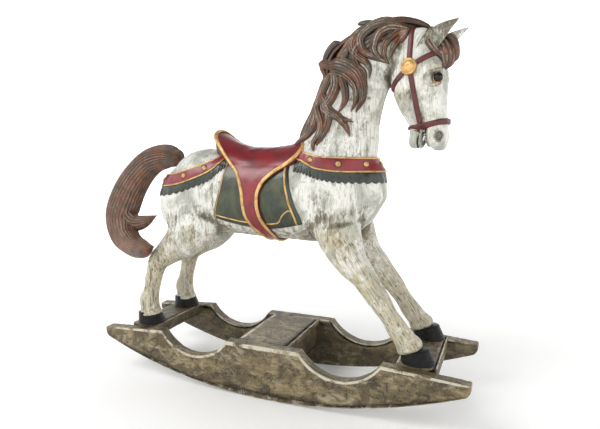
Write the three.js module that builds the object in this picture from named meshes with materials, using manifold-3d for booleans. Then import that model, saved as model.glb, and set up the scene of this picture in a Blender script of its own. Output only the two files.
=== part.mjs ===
// Rocking horse: a painted, carved horse on a pair of curved runners.
// Millimetres, +Z up, +X towards the horse's nose. The origin is on the floor, at the middle
// of the overall length and width. "right" is the horse's own right side, at negative Y.
import * as THREE from "three";
import { mergeVertices } from "three/addons/utils/BufferGeometryUtils.js";
import Module from "manifold-3d";

const wasm = await Module();
wasm.setup();

// ---- driving dimensions ----
const gap = 0.4; // clearance between two pieces that touch
const sides = [
  { name: "right", sign: -1 },
  { name: "left", sign: 1 },
];

const base = {
  centreX: 14, // where the runners touch the floor
  halfLength: 232,
  halfWidth: 65,
  runnerThickness: 15,
  rockRadius: 600,
  deckZ: 64,
  tipZ: 58,
  tipCorner: 5,
  scoopNear: 47, // each scoop runs between these distances from the centre
  scoopFar: 141,
  scoopDepth: 25,
  boardThickness: 15,
  tenonLength: 8,
};
const rearBoard = { from: -184, to: -145 };
const frontBoard = { from: 168, to: 211 };
const platform = { from: -23, to: 44, thickness: 6, railThickness: 12, railHeight: 30, railInset: 3 };

const hoof = { x: { front: 190, rear: -161 }, y: 39.5, halfLength: 18.5, halfWidth: 16, screwRadius: 2.2 };

// Cross-sections of the lofted bodies. Each row is one section:
// [x, y, z of its centre, half-depth in the XZ plane, half-width along Y].
const torsoSections = [
  [-152, 0, 246, 0, 0],
  [-146, 0, 245, 22, 20],
  [-130, 0, 241, 38, 33],
  [-100, 0, 239, 53, 43],
  [-60, 0, 237, 52, 42],
  [-15, 0, 235, 52, 43],
  [30, 0, 234.5, 53, 44],
  [75, 0, 236, 54, 43],
  [101, 0, 243, 49, 38],
  [121, 0, 252, 38, 28],
  [136, 0, 260, 25, 17],
  [143, 0, 263, 0, 0],
];
const neckSections = [
  [66, 0, 240, 0, 0],
  [76, 0, 258, 50, 34],
  [90, 0, 296, 45, 29],
  [99, 0, 330, 38, 24],
  [110, 0, 360, 35, 21],
  [130, 0, 385, 29, 18],
  [156, 0, 395, 20, 16],
  [170, 0, 396, 0, 0],
];
// The head is laid out before its turn to the right.
const headSections = [
  [170, 0, 415, 0, 0],
  [172, 0, 410, 12, 11],
  [177, 0, 398, 21, 17],
  [178, 0, 383, 27, 20.5],
  [179, 0, 363, 30.5, 22],
  [182, 0, 345, 28, 20.5],
  [186, 0, 330, 23.5, 17],
  [190, 0, 315, 20.5, 14.5],
  [191, 0, 302, 20.5, 15],
  [190, 0, 292, 17, 12.5],
  [190, 0, 289, 0, 0],
];
const headTurn = THREE.MathUtils.degToRad(-8);
const headPivot = new THREE.Vector3(150, 0, 0);
const hindLeg = [
  [-88, 20, 226, 0, 0],
  [-94, 24, 213, 33, 16],
  [-100, 28, 196, 34, 18],
  [-113, 31, 178, 27, 17],
  [-134, 35, 161, 18, 14.5],
  [-149, 37, 146, 13.5, 12.5],
  [-157, 38, 122, 11, 11],
  [-164, 39, 98, 12, 11.5],
  [-163, 39.5, 80, 13.5, 12.5],
  [-162, 39.5, 72, 0, 0],
];
const foreLeg = [
  [84, 20, 232, 0, 0],
  [90, 24, 214, 27, 17],
  [97, 28, 194, 26, 18],
  [112, 32, 167, 19, 16],
  [128, 34, 150, 15.5, 14],
  [147, 37, 126, 12, 11.5],
  [162, 38, 105, 12.5, 11.5],
  [174, 39, 88, 14, 13],
  [182, 39.5, 76, 13, 13],
  [185, 39.5, 70, 0, 0],
];
const tailSections = [
  [-134, 0, 279, 0, 0],
  [-140, 0, 281, 12, 10],
  [-155, 0, 283, 16, 14],
  [-178, -3, 277, 18, 18],
  [-199, -8, 258, 20, 19],
  [-215, -13, 232, 23, 19],
  [-221.4, -20, 203, 24.5, 19],
  [-211, -28, 181, 23, 18],
  [-195, -36, 171, 19, 15],
  [-172, -48, 166, 15, 11],
  [-150, -57, 167, 10, 7],
  [-136, -60, 171, 0, 0],
];
const tailLock = [
  [-220, -22, 218, 0, 0],
  [-210, -24, 200, 12, 12],
  [-193, -27, 193, 11, 10],
  [-170, -34, 197, 8, 6],
  [-145, -40, 207, 0, 0],
];
const maneSections = [
  [33, 0, 286, 0, 0],
  [46, 0, 299, 12, 11],
  [65, 0, 327, 17, 18],
  [83, 0, 365, 18, 20],
  [101, 0, 394, 19.5, 21],
  [122, 0, 409, 20, 21],
  [146, 0, 413.5, 16, 18],
  [162, 0, 411, 0, 0],
];
const forelockSections = [
  [184, 0, 410, 0, 0],
  [191, 0, 406, 9, 9],
  [203, 0, 396, 10, 12],
  [210, 0, 384, 7, 10],
  [208, 0, 372, 0, 0],
];
const earSections = [
  [181, 13, 391, 0, 0],
  [185, 14, 395, 8, 6.5],
  [195, 17, 401, 11, 7],
  [208, 19.5, 408, 8, 5],
  [222, 22, 417, 0, 0],
];

// Tack and trim. Heights round the torso are angles from the top, in degrees.
const blanket = {
  thickness: 1.4,
  // [angle, rear x, front x]
  edges: [
    [0, -44, 38],
    [50, -46, 39],
    [75, -49, 43],
    [100, -54, 49],
    [118, -58, 55],
    [136, -59, 57],
  ],
  lowAngle: 128,
};
const saddle = {
  thickness: 3.2,
  edges: [
    [0, -73, 50],
    [16, -70, 53],
    [25, -60, 54],
    [36, -47, 48],
    [53, -29, 26],
    [68, -22.6, 11.5],
    [85, -18.4, 5.6],
    [102, -17.6, 4.8],
    [119, -16, 7.3],
    [136, -10, 13],
    [150, -2, 17],
    [180, 0, 18],
  ],
  lowAngle: 112,
  cantleRise: 19,
  pommelRise: 8,
};
const bandThickness = 2.2;
const bandColumns = 21; // flat strips that a band is made of; each stud sits on the nearest one
const fringeThickness = 1.2;
// Horizontal turns about (x, y 0), from dead ahead or dead astern: [turn, top z, bottom z, fringe z].
const breast = {
  x: 57,
  edges: [
    [0, 281, 263, 252],
    [45, 282, 265, 253],
    [68, 285, 268.5, 257],
    [90, 290, 276, 263],
  ],
  studs: [0, 23, 42, 73],
};
const breech = {
  x: -54,
  edges: [
    [0, 258, 242.5, 231],
    [18, 259, 243, 231.5],
    [34, 263, 246.5, 236],
    [54, 273, 256, 245],
    [76, 281, 266, 254],
    [90, 285.5, 275, 263],
  ],
  studs: [17, 40, 66],
};
const strap = { halfWidth: 2.9, thickness: 1.8 };
const stud = { radius: 3, height: 1.8 };
const eye = { x: 202, z: 363, radius: 6.2 };
const rosette = { x: 174, z: 374.5, radius: 8, thickness: 3 };
const mouth = { apexX: 187, apexZ: 309, halfWidth: 7.5 };

// ---- geometry helpers ----
const up = new THREE.Vector3(0, 0, 1);
const position = (geometry) => geometry.attributes.position;

// Moves every vertex of a geometry: shape takes and gives back a Vector3.
function reshape(geometry, shape) {
  const at = position(geometry);
  const point = new THREE.Vector3();
  for (let i = 0; i < at.count; i++) {
    shape(point.fromBufferAttribute(at, i));
    at.setXYZ(i, point.x, point.y, point.z);
  }
  return geometry;
}

// A closed three.js geometry as a solid, for cutting and joining.
function solidOf(geometry) {
  const plain = geometry.clone();
  plain.deleteAttribute("normal");
  plain.deleteAttribute("uv");
  const merged = mergeVertices(plain, 1e-3);
  const mesh = new wasm.Mesh({
    numProp: 3,
    vertProperties: new Float32Array(position(merged).array),
    triVerts: new Uint32Array(merged.index.array),
  });
  const solid = new wasm.Manifold(mesh);
  if (solid.volume() > 0) return solid;
  mesh.triVerts.reverse();
  return new wasm.Manifold(mesh);
}

// The largest separate body of a solid: cutting can leave slivers behind.
const largest = (solid) => solid.decompose().reduce((a, b) => (a.volume() > b.volume() ? a : b));

function geometryOf(solid) {
  const { vertProperties, triVerts } = solid.getMesh();
  const geometry = new THREE.BufferGeometry();
  geometry.setAttribute("position", new THREE.BufferAttribute(vertProperties, 3));
  geometry.setIndex(new THREE.BufferAttribute(triVerts, 1));
  geometry.computeVertexNormals();
  return geometry;
}

const less = (solid, ...cutters) => largest(cutters.reduce((left, cutter) => left.subtract(cutter), solid));

// A lofted body through a list of sections, as a smooth surface: point(t, angle, offset).
// t runs 0 to 1 along the sections; angle 0 is the upper or front side, and 90 degrees is +Y.
class Loft {
  constructor(sections, { mirror = 1, turn = 0, pivot = new THREE.Vector3() } = {}) {
    const column = (c) => sections.map((row) => row[c]);
    const [x, y, z] = [column(0), column(1).map((v) => v * mirror), column(2)];
    this.spine = new THREE.CatmullRomCurve3(x.map((v, i) => new THREE.Vector3(v, y[i], z[i])));
    this.size = new THREE.CatmullRomCurve3(column(3).map((v, i) => new THREE.Vector3(v, sections[i][4], 0)));
    this.turn = turn;
    this.pivot = pivot;
  }

  point(t, angle, offset = 0, target = new THREE.Vector3()) {
    const along = THREE.MathUtils.clamp(t, 0, 1);
    const centre = this.spine.getPoint(along);
    const tangent = this.spine.getTangent(along);
    const depth = new THREE.Vector3(-tangent.z, 0, tangent.x).normalize();
    const size = this.size.getPoint(along);
    const rounder = 1 - Math.pow(Math.abs(2 * along - 1), 12); // the offset fades out at both ends
    target.copy(centre);
    target.addScaledVector(depth, Math.cos(angle) * (Math.max(size.x, 0) + offset * rounder));
    target.y += Math.sin(angle) * (Math.max(size.y, 0) + offset * rounder);
    if (offset) target.addScaledVector(tangent, (2 * along - 1) * offset * (1 - rounder));
    if (this.turn) target.sub(this.pivot).applyAxisAngle(up, this.turn).add(this.pivot);
    return target;
  }

  // The whole body, grown by offset.
  geometry(around, rings, offset = 0) {
    const sphere = new THREE.SphereGeometry(1, around, rings);
    return reshape(sphere, (p) => {
      const t = Math.acos(THREE.MathUtils.clamp(p.y, -1, 1)) / Math.PI;
      this.point(t, Math.atan2(p.z, p.x), offset, p);
    });
  }

  solid(around, rings, offset = 0) {
    return solidOf(this.geometry(around, rings, offset));
  }

  // The section number, 0 to 1, whose centre has this x or z.
  at(axis, value) {
    let [low, high] = [0, 1];
    const rising = this.spine.getPoint(1)[axis] > this.spine.getPoint(0)[axis];
    for (let i = 0; i < 30; i++) {
      const middle = (low + high) / 2;
      if (this.spine.getPoint(middle)[axis] < value === rising) low = middle;
      else high = middle;
    }
    return (low + high) / 2;
  }
}

// A row of a table of [angle, ...values], read smoothly at any angle.
function read(table, angle) {
  const size = Math.abs(angle);
  const next = THREE.MathUtils.clamp(table.findIndex((row) => row[0] >= size), 1, table.length - 1);
  const [low, high] = [table[next - 1], table[next]];
  const mix = THREE.MathUtils.clamp((size - low[0]) / (high[0] - low[0]), 0, 1);
  return low.map((value, i) => THREE.MathUtils.lerp(value, high[i], mix));
}

// The distance along a ray to its farthest hit. A ray that slips between two triangles is nudged.
const caster = new THREE.Raycaster();
function farthest(bodies, origin, direction) {
  for (const nudge of [0, 0.02, -0.02]) {
    caster.set(origin.clone().add(new THREE.Vector3(nudge, nudge, nudge)), direction);
    const hits = caster.intersectObjects(bodies, false);
    if (hits.length) return Math.max(...hits.map((hit) => hit.distance));
  }
  return 0;
}

// A plate wrapped on bodies: ray(s, t) gives the origin and direction of the ray whose farthest hit
// on the bodies is where the plate's point (s, t) sits.
function wrap(bodies, geometry, ray, coordinates, height) {
  const known = new Map();
  return reshape(geometry, (p) => {
    const [s, t, outer] = coordinates(p);
    const key = `${s.toFixed(5)} ${t.toFixed(5)}`;
    const [origin, direction] = ray(s, t);
    if (!known.has(key)) known.set(key, farthest(bodies, origin, direction));
    p.copy(origin).addScaledVector(direction, known.get(key) + height(s, t, outer));
  });
}
const plate = (bodies, columns, rows, ray, height) =>
  wrap(bodies, new THREE.BoxGeometry(1, 1, 1, columns, rows, 1), ray, (p) => [p.x + 0.5, p.y + 0.5, p.z + 0.5], height);

// A closed ring with a flat section: s is its turn, t runs across it.
function hoop(bodies, columns, ray, height) {
  const section = [[1, 0], [2, 0], [2, 1], [1, 1], [1, 0]].map(([r, y]) => new THREE.Vector2(r, y));
  const coordinates = (p) => [Math.atan2(p.z, p.x) / (2 * Math.PI), p.y, Math.hypot(p.x, p.z) - 1];
  return wrap(bodies, new THREE.LatheGeometry(section, columns), ray, coordinates, height);
}
const layer = (lift, thickness) => (s, t, outer) => lift + outer * thickness;

// ---- materials ----
const paint = (color, roughness, metalness = 0) => new THREE.MeshStandardMaterial({ color, roughness, metalness });
const coat = paint("#d6d3c6", 0.55);
const hair = paint("#5a3020", 0.5);
const oakStain = paint("#5d4e38", 0.6);
const blackHorn = paint("#1b1918", 0.35);
const redPaint = paint("#7c1418", 0.35);
const greenPaint = paint("#26351d", 0.35);
const goldPaint = paint("#b98a42", 0.4, 0.5);
const bridleRed = paint("#571c1c", 0.45);
const eyeGlass = paint("#0d0b0a", 0.12);
const steel = paint("#8c8c8c", 0.4, 0.9);

const horse = new THREE.Group();
function add(name, shape, material) {
  const mesh = new THREE.Mesh(geometryOf(shape.isBufferGeometry ? solidOf(shape) : shape), material);
  mesh.name = name;
  horse.add(mesh);
  return mesh;
}

// ---- rocker base ----
const facets = 25; // of the rocking arc; the middle one lies flat on the floor
const facet = (2 * (base.halfLength - base.tipCorner)) / facets;
const arcZ = (x) => base.rockRadius - Math.sqrt(base.rockRadius ** 2 - x ** 2);
const rockZ = (x) => arcZ(x) - arcZ(facet / 2);
const innerY = base.halfWidth - base.runnerThickness;
const box = (x0, x1, y0, y1, z0, z1) =>
  new THREE.BoxGeometry(x1 - x0, y1 - y0, z1 - z0).translate((x0 + x1) / 2, (y0 + y1) / 2, (z0 + z1) / 2);

// The side view of a runner: rocking arc below, two scoops between flats above.
function runnerOutline() {
  const { halfLength, scoopNear, scoopFar, scoopDepth, deckZ, tipZ, tipCorner } = base;
  const outline = new THREE.Shape();
  const bottomEnd = halfLength - tipCorner;
  outline.moveTo(-bottomEnd, rockZ(bottomEnd));
  for (let i = 1; i <= facets; i++) outline.lineTo(-bottomEnd + i * facet, rockZ(-bottomEnd + i * facet));
  outline.lineTo(halfLength, rockZ(bottomEnd) + tipCorner);
  outline.lineTo(halfLength, tipZ - 1);
  outline.lineTo(halfLength - 3, tipZ);
  const halfChord = (scoopFar - scoopNear) / 2;
  const radius = (halfChord ** 2 + scoopDepth ** 2) / (2 * scoopDepth);
  const lean = Math.asin(halfChord / radius);
  for (const side of [1, -1]) {
    const middle = (side * (scoopNear + scoopFar)) / 2;
    outline.lineTo(middle + halfChord, deckZ);
    for (let i = 1; i <= 12; i++) {
      const angle = lean - (2 * lean * i) / 12;
      const drop = Math.cos(angle) * radius - (radius - scoopDepth);
      outline.lineTo(middle + Math.sin(angle) * radius, deckZ - drop);
    }
  }
  outline.lineTo(-halfLength + 3, tipZ);
  outline.lineTo(-halfLength, tipZ - 1);
  outline.lineTo(-halfLength, rockZ(bottomEnd) + tipCorner);
  return outline;
}

// Every board between the runners: [name, x from, x to, z from, z to].
const boards = [
  ["rear_cross_board", rearBoard.from, rearBoard.to, base.deckZ - base.boardThickness, base.deckZ],
  ["front_cross_board", frontBoard.from, frontBoard.to, base.deckZ - base.boardThickness, base.deckZ],
  ["centre_platform", platform.from, platform.to, base.deckZ - platform.thickness, base.deckZ],
];
const railTop = base.deckZ - platform.thickness - gap;
for (const [name, x] of [
  ["centre_front_rail", platform.to - platform.railInset - platform.railThickness],
  ["centre_rear_rail", platform.from + platform.railInset],
])
  boards.push([name, x, x + platform.railThickness, railTop - platform.railHeight, railTop]);

// A board's tenon is half its thickness, and stops short of both edges.
function tenonOf([, x0, x1, z0, z1], clearance) {
  const tall = z1 - z0 > x1 - x0;
  const [inX, inZ] = tall ? [3, 6] : [8, (z1 - z0) / 4];
  const end = innerY + base.tenonLength + clearance;
  return box(x0 + inX - clearance, x1 - inX + clearance, -end, end, z0 + inZ - clearance, z1 - inZ + clearance);
}

for (const board of boards) {
  const [name, x0, x1, z0, z1] = board;
  const body = solidOf(box(x0, x1, -innerY + gap, innerY - gap, z0, z1));
  let solid = body.add(solidOf(tenonOf(board, 0)));
  for (const [end, x] of Object.entries(hoof.x))
    if (x > x0 && x < x1) for (const { sign } of sides) solid = solid.subtract(screwHole(end, sign));
  add(name, solid, oakStain);
}

for (const { name, sign } of sides) {
  const profile = new THREE.ExtrudeGeometry(runnerOutline(), { depth: base.runnerThickness, bevelEnabled: false });
  profile.rotateX(Math.PI / 2).translate(base.centreX, 0, 0);
  profile.translate(0, sign > 0 ? base.halfWidth : -innerY, 0);
  const mortised = boards.reduce((left, board) => left.subtract(solidOf(tenonOf(board, gap))), solidOf(profile));
  add(`runner_${name}`, mortised, oakStain);
}

// ---- the carved bodies ----
const torsoLoft = new Loft(torsoSections);
const neckLoft = new Loft(neckSections);
const headLoft = new Loft(headSections, { turn: headTurn, pivot: headPivot });
const torsoRaw = torsoLoft.solid(20, 16);
const torsoGrown = torsoLoft.solid(20, 16, gap);
const neckGrown = neckLoft.solid(14, 11, gap);
const headGrown = headLoft.solid(14, 14, gap);

// A screw stands under each hoof, through the board and into the hoof.
function screwShape(end, sign, clearance) {
  const r = hoof.screwRadius + clearance;
  const top = base.deckZ + 12 + clearance;
  const bottom = base.deckZ - base.boardThickness - (clearance ? 1 : 0);
  const profile = [
    new THREE.Vector2(0, bottom),
    new THREE.Vector2(r + 2, bottom),
    new THREE.Vector2(r + 2, bottom + 2 + (clearance ? 1 : 0)),
    new THREE.Vector2(r, bottom + 4 + (clearance ? 1 : 0)),
    new THREE.Vector2(r, top - 1),
    new THREE.Vector2(0, top),
  ];
  const y = sign * (innerY - 14);
  return new THREE.LatheGeometry(profile, 10).rotateX(Math.PI / 2).translate(hoof.x[end], y, 0);
}
function screwHole(end, sign) {
  return solidOf(screwShape(end, sign, gap));
}

// A hoof: flat sole, a longer toe than heel, and a coronet that slopes down to the back.
function hoofShape(end, sign, grow = 0) {
  const [toeHeight, heelHeight] = end === "front" ? [19, 11] : [17, 13];
  const flat = new THREE.CylinderGeometry(1, 1, 1, 18, 2).rotateX(Math.PI / 2);
  return reshape(flat, (p) => {
    const up = p.z + 0.5;
    const slope = (toeHeight - heelHeight) / 2;
    const height = (toeHeight + heelHeight) / 2 + slope * p.x + grow;
    const taper = 1 - 0.2 * up;
    const lean = -4 * up;
    const bottom = base.deckZ + gap;
    p.set(
      hoof.x[end] + lean + p.x * (hoof.halfLength * taper + grow),
      sign * hoof.y + p.y * (hoof.halfWidth * taper + grow),
      bottom + up * height,
    );
  });
}

const legs = { front: foreLeg, rear: hindLeg };
const tenonRadius = 7;
// A round tenon on top of each leg, in the line of its first sections, into the torso.
function legTenon(end, sign, clearance) {
  const [low, high] = [legs[end][3], legs[end][1]].map(([x, y, z]) => new THREE.Vector3(x, y * sign * 0.82, z));
  const direction = high.clone().sub(low);
  const length = direction.length() + clearance;
  const pin = new THREE.CylinderGeometry(tenonRadius + clearance, tenonRadius + clearance, length, 12);
  pin.translate(0, length / 2, 0);
  pin.applyQuaternion(new THREE.Quaternion().setFromUnitVectors(THREE.Object3D.DEFAULT_UP.clone().set(0, 1, 0), direction.normalize()));
  return solidOf(pin.translate(low.x, low.y, low.z));
}

let torso = torsoRaw;
for (const end of Object.keys(legs))
  for (const { name, sign } of sides) {
    const hoofBody = solidOf(hoofShape(end, sign));
    const loft = new Loft(legs[end], { mirror: sign }).solid(10, 11);
    const leg = less(loft, torsoGrown, solidOf(hoofShape(end, sign, gap)));
    add(`${end}_leg_${name}`, leg.add(legTenon(end, sign, 0)), coat);
    add(`${end}_hoof_${name}`, hoofBody.subtract(screwHole(end, sign)), blackHorn);
    add(`${end}_hoof_screw_${name}`, screwShape(end, sign, 0), steel);
    torso = torso.subtract(legTenon(end, sign, gap));
  }

// The neck and the tail are pegged into the torso.
const peg = (radius, from, to) =>
  solidOf(
    new THREE.CylinderGeometry(radius, radius, from.distanceTo(to), 14)
      .applyQuaternion(
        new THREE.Quaternion().setFromUnitVectors(new THREE.Vector3(0, 1, 0), to.clone().sub(from).normalize()),
      )
      .translate((from.x + to.x) / 2, (from.y + to.y) / 2, (from.z + to.z) / 2),
  );
const neckPeg = (clearance) =>
  peg(12 + clearance, new THREE.Vector3(84, 0, 258 - clearance), new THREE.Vector3(96, 0, 310));
const tailPeg = (clearance) =>
  peg(5 + clearance, new THREE.Vector3(-122 + clearance, 0, 276), new THREE.Vector3(-158, 0, 287));
torso = torso.subtract(neckPeg(gap)).subtract(tailPeg(gap));
add("torso", largest(torso), coat);

const neckCut = less(neckLoft.solid(14, 11), torsoGrown, headGrown);
add("neck", neckCut.add(neckPeg(0)), coat);

// ---- head ----
const turned = (geometry) =>
  geometry
    .translate(-headPivot.x, 0, 0)
    .rotateZ(headTurn)
    .translate(headPivot.x, 0, 0);
const eyeBall = (sign, grow) => {
  const t = headLoft.at("z", eye.z);
  const widest = headSections[4][4];
  const ball = new THREE.SphereGeometry(eye.radius + grow, 10, 6);
  return turned(ball.translate(eye.x, sign * (widest * 0.72 - 1), eye.z), t);
};
// The open mouth: a wedge across the muzzle, from its corner down and out.
const mouthWedge = (() => {
  const outline = new THREE.Shape();
  outline.moveTo(mouth.apexX, mouth.apexZ);
  outline.lineTo(mouth.apexX + mouth.halfWidth, 280);
  outline.lineTo(mouth.apexX - mouth.halfWidth, 280);
  const wedge = new THREE.ExtrudeGeometry(outline, { depth: 60, bevelEnabled: false });
  return solidOf(turned(wedge.rotateX(Math.PI / 2).translate(0, 30, 0)));
})();
const ears = sides.map(({ name, sign }) => ({
  name,
  loft: new Loft(earSections, { mirror: sign, turn: headTurn, pivot: headPivot }),
}));
const head = less(
  headLoft.solid(14, 14),
  mouthWedge,
  ...sides.map(({ sign }) => solidOf(eyeBall(sign, gap))),
);
add("head", head, coat);
for (const { name, sign } of sides) add(`eye_${name}`, eyeBall(sign, 0), eyeGlass);
for (const { name, loft } of ears) add(`ear_${name}`, less(loft.solid(8, 8), headGrown), coat);
const earsGrown = ears.map(({ loft }) => loft.solid(8, 8, gap));

// Teeth: one block on the lower jaw, seen through the open mouth.
const teeth = box(mouth.apexX - 4.2, mouth.apexX + 0.2, -8, 8, 290.5, 299);
const jawGap = solidOf(turned(teeth)).subtract(head.subtract(solidOf(box(0, 1, 0, 1, 0, 1))));
add("teeth", less(jawGap, solidOf(headLoft.geometry(14, 14, gap)).subtract(mouthWedge)), paint("#cfc8b4", 0.4));

// ---- hair ----
const skin = (...geometries) =>
  geometries.map((geometry) => new THREE.Mesh(geometry, new THREE.MeshBasicMaterial({ side: THREE.DoubleSide })));
const hindLegsGrown = sides.map(({ sign }) => new Loft(hindLeg, { mirror: sign }).solid(10, 11, gap));
const plume = new Loft(tailSections).solid(10, 15).add(new Loft(tailLock).solid(8, 8));
add("tail", less(plume, torsoGrown, ...hindLegsGrown).add(tailPeg(0)), hair);

// ---- saddle, girth and blanket ----
const radians = THREE.MathUtils.degToRad;
const torsoSkin = skin(torsoLoft.geometry(56, 60));
const axisZ = 236;
const around = (x, degrees) => {
  const angle = radians(degrees);
  return [new THREE.Vector3(x, 0, axisZ), new THREE.Vector3(0, Math.sin(angle), Math.cos(angle))];
};
// A panel over the torso between two edges, from one angle to another.
function panel({ edges }, from, to, columns, rows, height, grow = 0) {
  const ray = (s, t) => {
    const angle = THREE.MathUtils.lerp(from - grow, to + grow, t);
    const [, rear, front] = read(edges, angle > 180 ? 360 - angle : angle);
    return around(THREE.MathUtils.lerp(rear - grow, front + grow, s), angle);
  };
  return plate(torsoSkin, columns, rows, ray, height);
}
const tackLift = 0.8; // tack stands this far off the coat, so that its flat facets clear it
const saddleLift = tackLift + blanket.thickness + 0.6;
// The seat dips between a tall cantle behind and a low pommel in front; both fade down the sides.
function seat(grow) {
  const spread = 46;
  return (s, t, outer) => {
    const angle = THREE.MathUtils.lerp(-saddle.lowAngle, saddle.lowAngle, t);
    const crown = Math.max(0, Math.cos(radians((90 * angle) / spread))) * (Math.abs(angle) < spread ? 1 : 0);
    const rise = saddle.cantleRise * Math.max(0, 1 - s / 0.42) ** 1.6 + saddle.pommelRise * Math.max(0, (s - 0.6) / 0.4) ** 2;
    return saddleLift - grow + outer * (saddle.thickness + 2 * grow + crown * (rise + 2));
  };
}
const blanketLayer = layer(tackLift, blanket.thickness);
const blanketPanel = panel(blanket, -blanket.lowAngle, blanket.lowAngle, 6, 16, blanketLayer);
add("saddle_blanket", less(solidOf(blanketPanel), neckGrown), greenPaint);
const seatPanel = panel(saddle, -saddle.lowAngle, saddle.lowAngle, 8, 16, seat(0));
add("saddle", less(solidOf(seatPanel), neckGrown), redPaint);
const saddleGrown = solidOf(panel(saddle, -saddle.lowAngle, saddle.lowAngle, 8, 16, seat(gap), gap));
const girthLayer = layer(saddleLift, saddle.thickness);
const girthPanel = panel(saddle, saddle.lowAngle + 1, 359 - saddle.lowAngle, 2, 12, girthLayer);
add("girth", girthPanel, redPaint);

// ---- breast band and breech band, each with a hanging fringe ----
const bodySkin = skin(torsoLoft.geometry(56, 60), neckLoft.geometry(36, 40));
const bandRay = ({ x, edges }, ahead, upper, lower) => (s, t) => {
  const turn = THREE.MathUtils.lerp(-90, 90, s);
  const row = read(edges, turn);
  const angle = radians(turn);
  const z = THREE.MathUtils.lerp(lower(row), upper(row), t);
  return [new THREE.Vector3(x, 0, z), new THREE.Vector3(ahead * Math.cos(angle), ahead * Math.sin(angle), 0)];
};
for (const [name, shape, ahead] of [["breast", breast, 1], ["rear", breech, -1]]) {
  const bandEdges = [(row) => row[1], (row) => row[2]];
  const fringeEdges = [(row) => row[2] - gap, (row) => row[3]];
  const band = plate(bodySkin, bandColumns, 2, bandRay(shape, ahead, ...bandEdges), layer(tackLift, bandThickness));
  const fringe = plate(bodySkin, bandColumns, 1, bandRay(shape, ahead, ...fringeEdges), layer(tackLift, fringeThickness));
  const fitted = add(`${name}_band`, less(solidOf(band), saddleGrown, torsoGrown, neckGrown), redPaint);
  const bandSkin = skin(fitted.geometry);
  add(`${name}_fringe`, less(solidOf(fringe), saddleGrown, torsoGrown), greenPaint);
  const strip = 180 / bandColumns;
  const turns = shape.studs.map((turn) => Math.round(turn / strip) * strip);
  const bothSides = turns.flatMap((turn) => (turn ? [-turn, turn] : [0])).sort((a, b) => a - b);
  bothSides.forEach((turn, i) => {
    const at = (s, t) => {
      const [origin, direction] = bandRay(shape, ahead, ...bandEdges)(s, t);
      return origin.addScaledVector(direction, farthest(bandSkin, origin, direction));
    };
    const s = (turn + 90) / 180;
    const [middle, onward, above] = [at(s, 0.5), at(s + 0.02, 0.5), at(s, 0.75)];
    const outward = onward.sub(middle).cross(above.sub(middle)).normalize();
    add(`${name}_stud_${i + 1}`, dome(stud.radius, stud.height, middle, outward, 2.2 * gap), goldPaint);
  });
}

// A low dome on a surface, its flat back a little off it.
function dome(radius, height, at, outward, lift) {
  const profile = [[0, 0], [1, 0], [1, 0.3], [0.6, 1], [0, 1]];
  const points = profile.map(([r, h]) => new THREE.Vector2(r * radius, h * height));
  const turn = new THREE.Quaternion().setFromUnitVectors(new THREE.Vector3(0, 1, 0), outward);
  const spot = at.clone().addScaledVector(outward, lift);
  return new THREE.LatheGeometry(points, 8).applyQuaternion(turn).translate(spot.x, spot.y, spot.z);
}

// ---- mane and forelock ----
const maneLoft = new Loft(maneSections);
add("mane", less(maneLoft.solid(10, 13), ...neckAndHead(), saddleGrown, ...earsGrown), hair);
function neckAndHead() {
  return [neckGrown, torsoGrown, headGrown];
}
const maneGrown = maneLoft.solid(10, 13, gap);

// ---- bridle ----
const headSkin = skin(headLoft.geometry(36, 40));
const headAndNeckSkin = [...headSkin, ...skin(neckLoft.geometry(36, 40))];
const inHead = (x, y, z) => new THREE.Vector3(x, y, z).sub(headPivot).applyAxisAngle(up, headTurn).add(headPivot);
const inHeadWay = (x, y, z) => new THREE.Vector3(x, y, z).applyAxisAngle(up, headTurn);

// A strap round the head in a plane across it: turn 0 is the head's left, 90 is where the plane leans.
function strapRound(x, z, lean, from, to) {
  const [leanX, leanZ] = [Math.cos(radians(lean)), Math.sin(radians(lean))];
  return (s, t) => {
    const turn = radians(THREE.MathUtils.lerp(from, to, s));
    const across = (2 * t - 1) * strap.halfWidth;
    return [
      inHead(x - leanZ * across, 0, z + leanX * across),
      inHeadWay(Math.sin(turn) * leanX, Math.cos(turn), Math.sin(turn) * leanZ),
    ];
  };
}
// A strap down one side of the head, from one [x, z] to another.
function strapDown([x0, z0], [x1, z1], sign) {
  const length = Math.hypot(x1 - x0, z1 - z0);
  return (s, t) => {
    const across = (2 * t - 1) * strap.halfWidth * sign;
    const x = THREE.MathUtils.lerp(x0, x1, s) + (across * (z1 - z0)) / length;
    const z = THREE.MathUtils.lerp(z0, z1, s) - (across * (x1 - x0)) / length;
    return [inHead(x, 0, z), inHeadWay(0, sign, 0)];
  };
}
const strapLayer = layer(tackLift, strap.thickness);
add("noseband", hoop(headSkin, 24, strapRound(190, 315, 10, 0, 360), strapLayer), bridleRed);
const discs = sides.map(({ name, sign }) => {
  const ray = strapDown([rosette.x, rosette.z], [rosette.x, rosette.z - 10], sign);
  const [origin, direction] = ray(0, 0.5);
  const at = origin.addScaledVector(direction, farthest(headSkin, origin, direction));
  add(`rosette_${name}`, dome(rosette.radius, rosette.thickness, at, direction, 1.4), goldPaint);
  const clear = solidOf(dome(rosette.radius + gap, 10 * rosette.thickness, at, direction, -4));
  return { name, sign, clear };
});
const clearDiscs = discs.map(({ clear }) => clear);
const strapSolid = (bodies, columns, ray) =>
  solidOf(plate(bodies, columns, 1, ray, strapLayer));
const crown = strapSolid(headAndNeckSkin, 16, strapRound(rosette.x, rosette.z, 91, -12, 192));
add("crownpiece", less(crown, headGrown, maneGrown, ...earsGrown, ...clearDiscs), bridleRed);
const browRay = strapRound(rosette.x, rosette.z, 27, -4, 184);
add("browband", less(strapSolid(headSkin, 16, browRay), ...clearDiscs, ...earsGrown), bridleRed);
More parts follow.
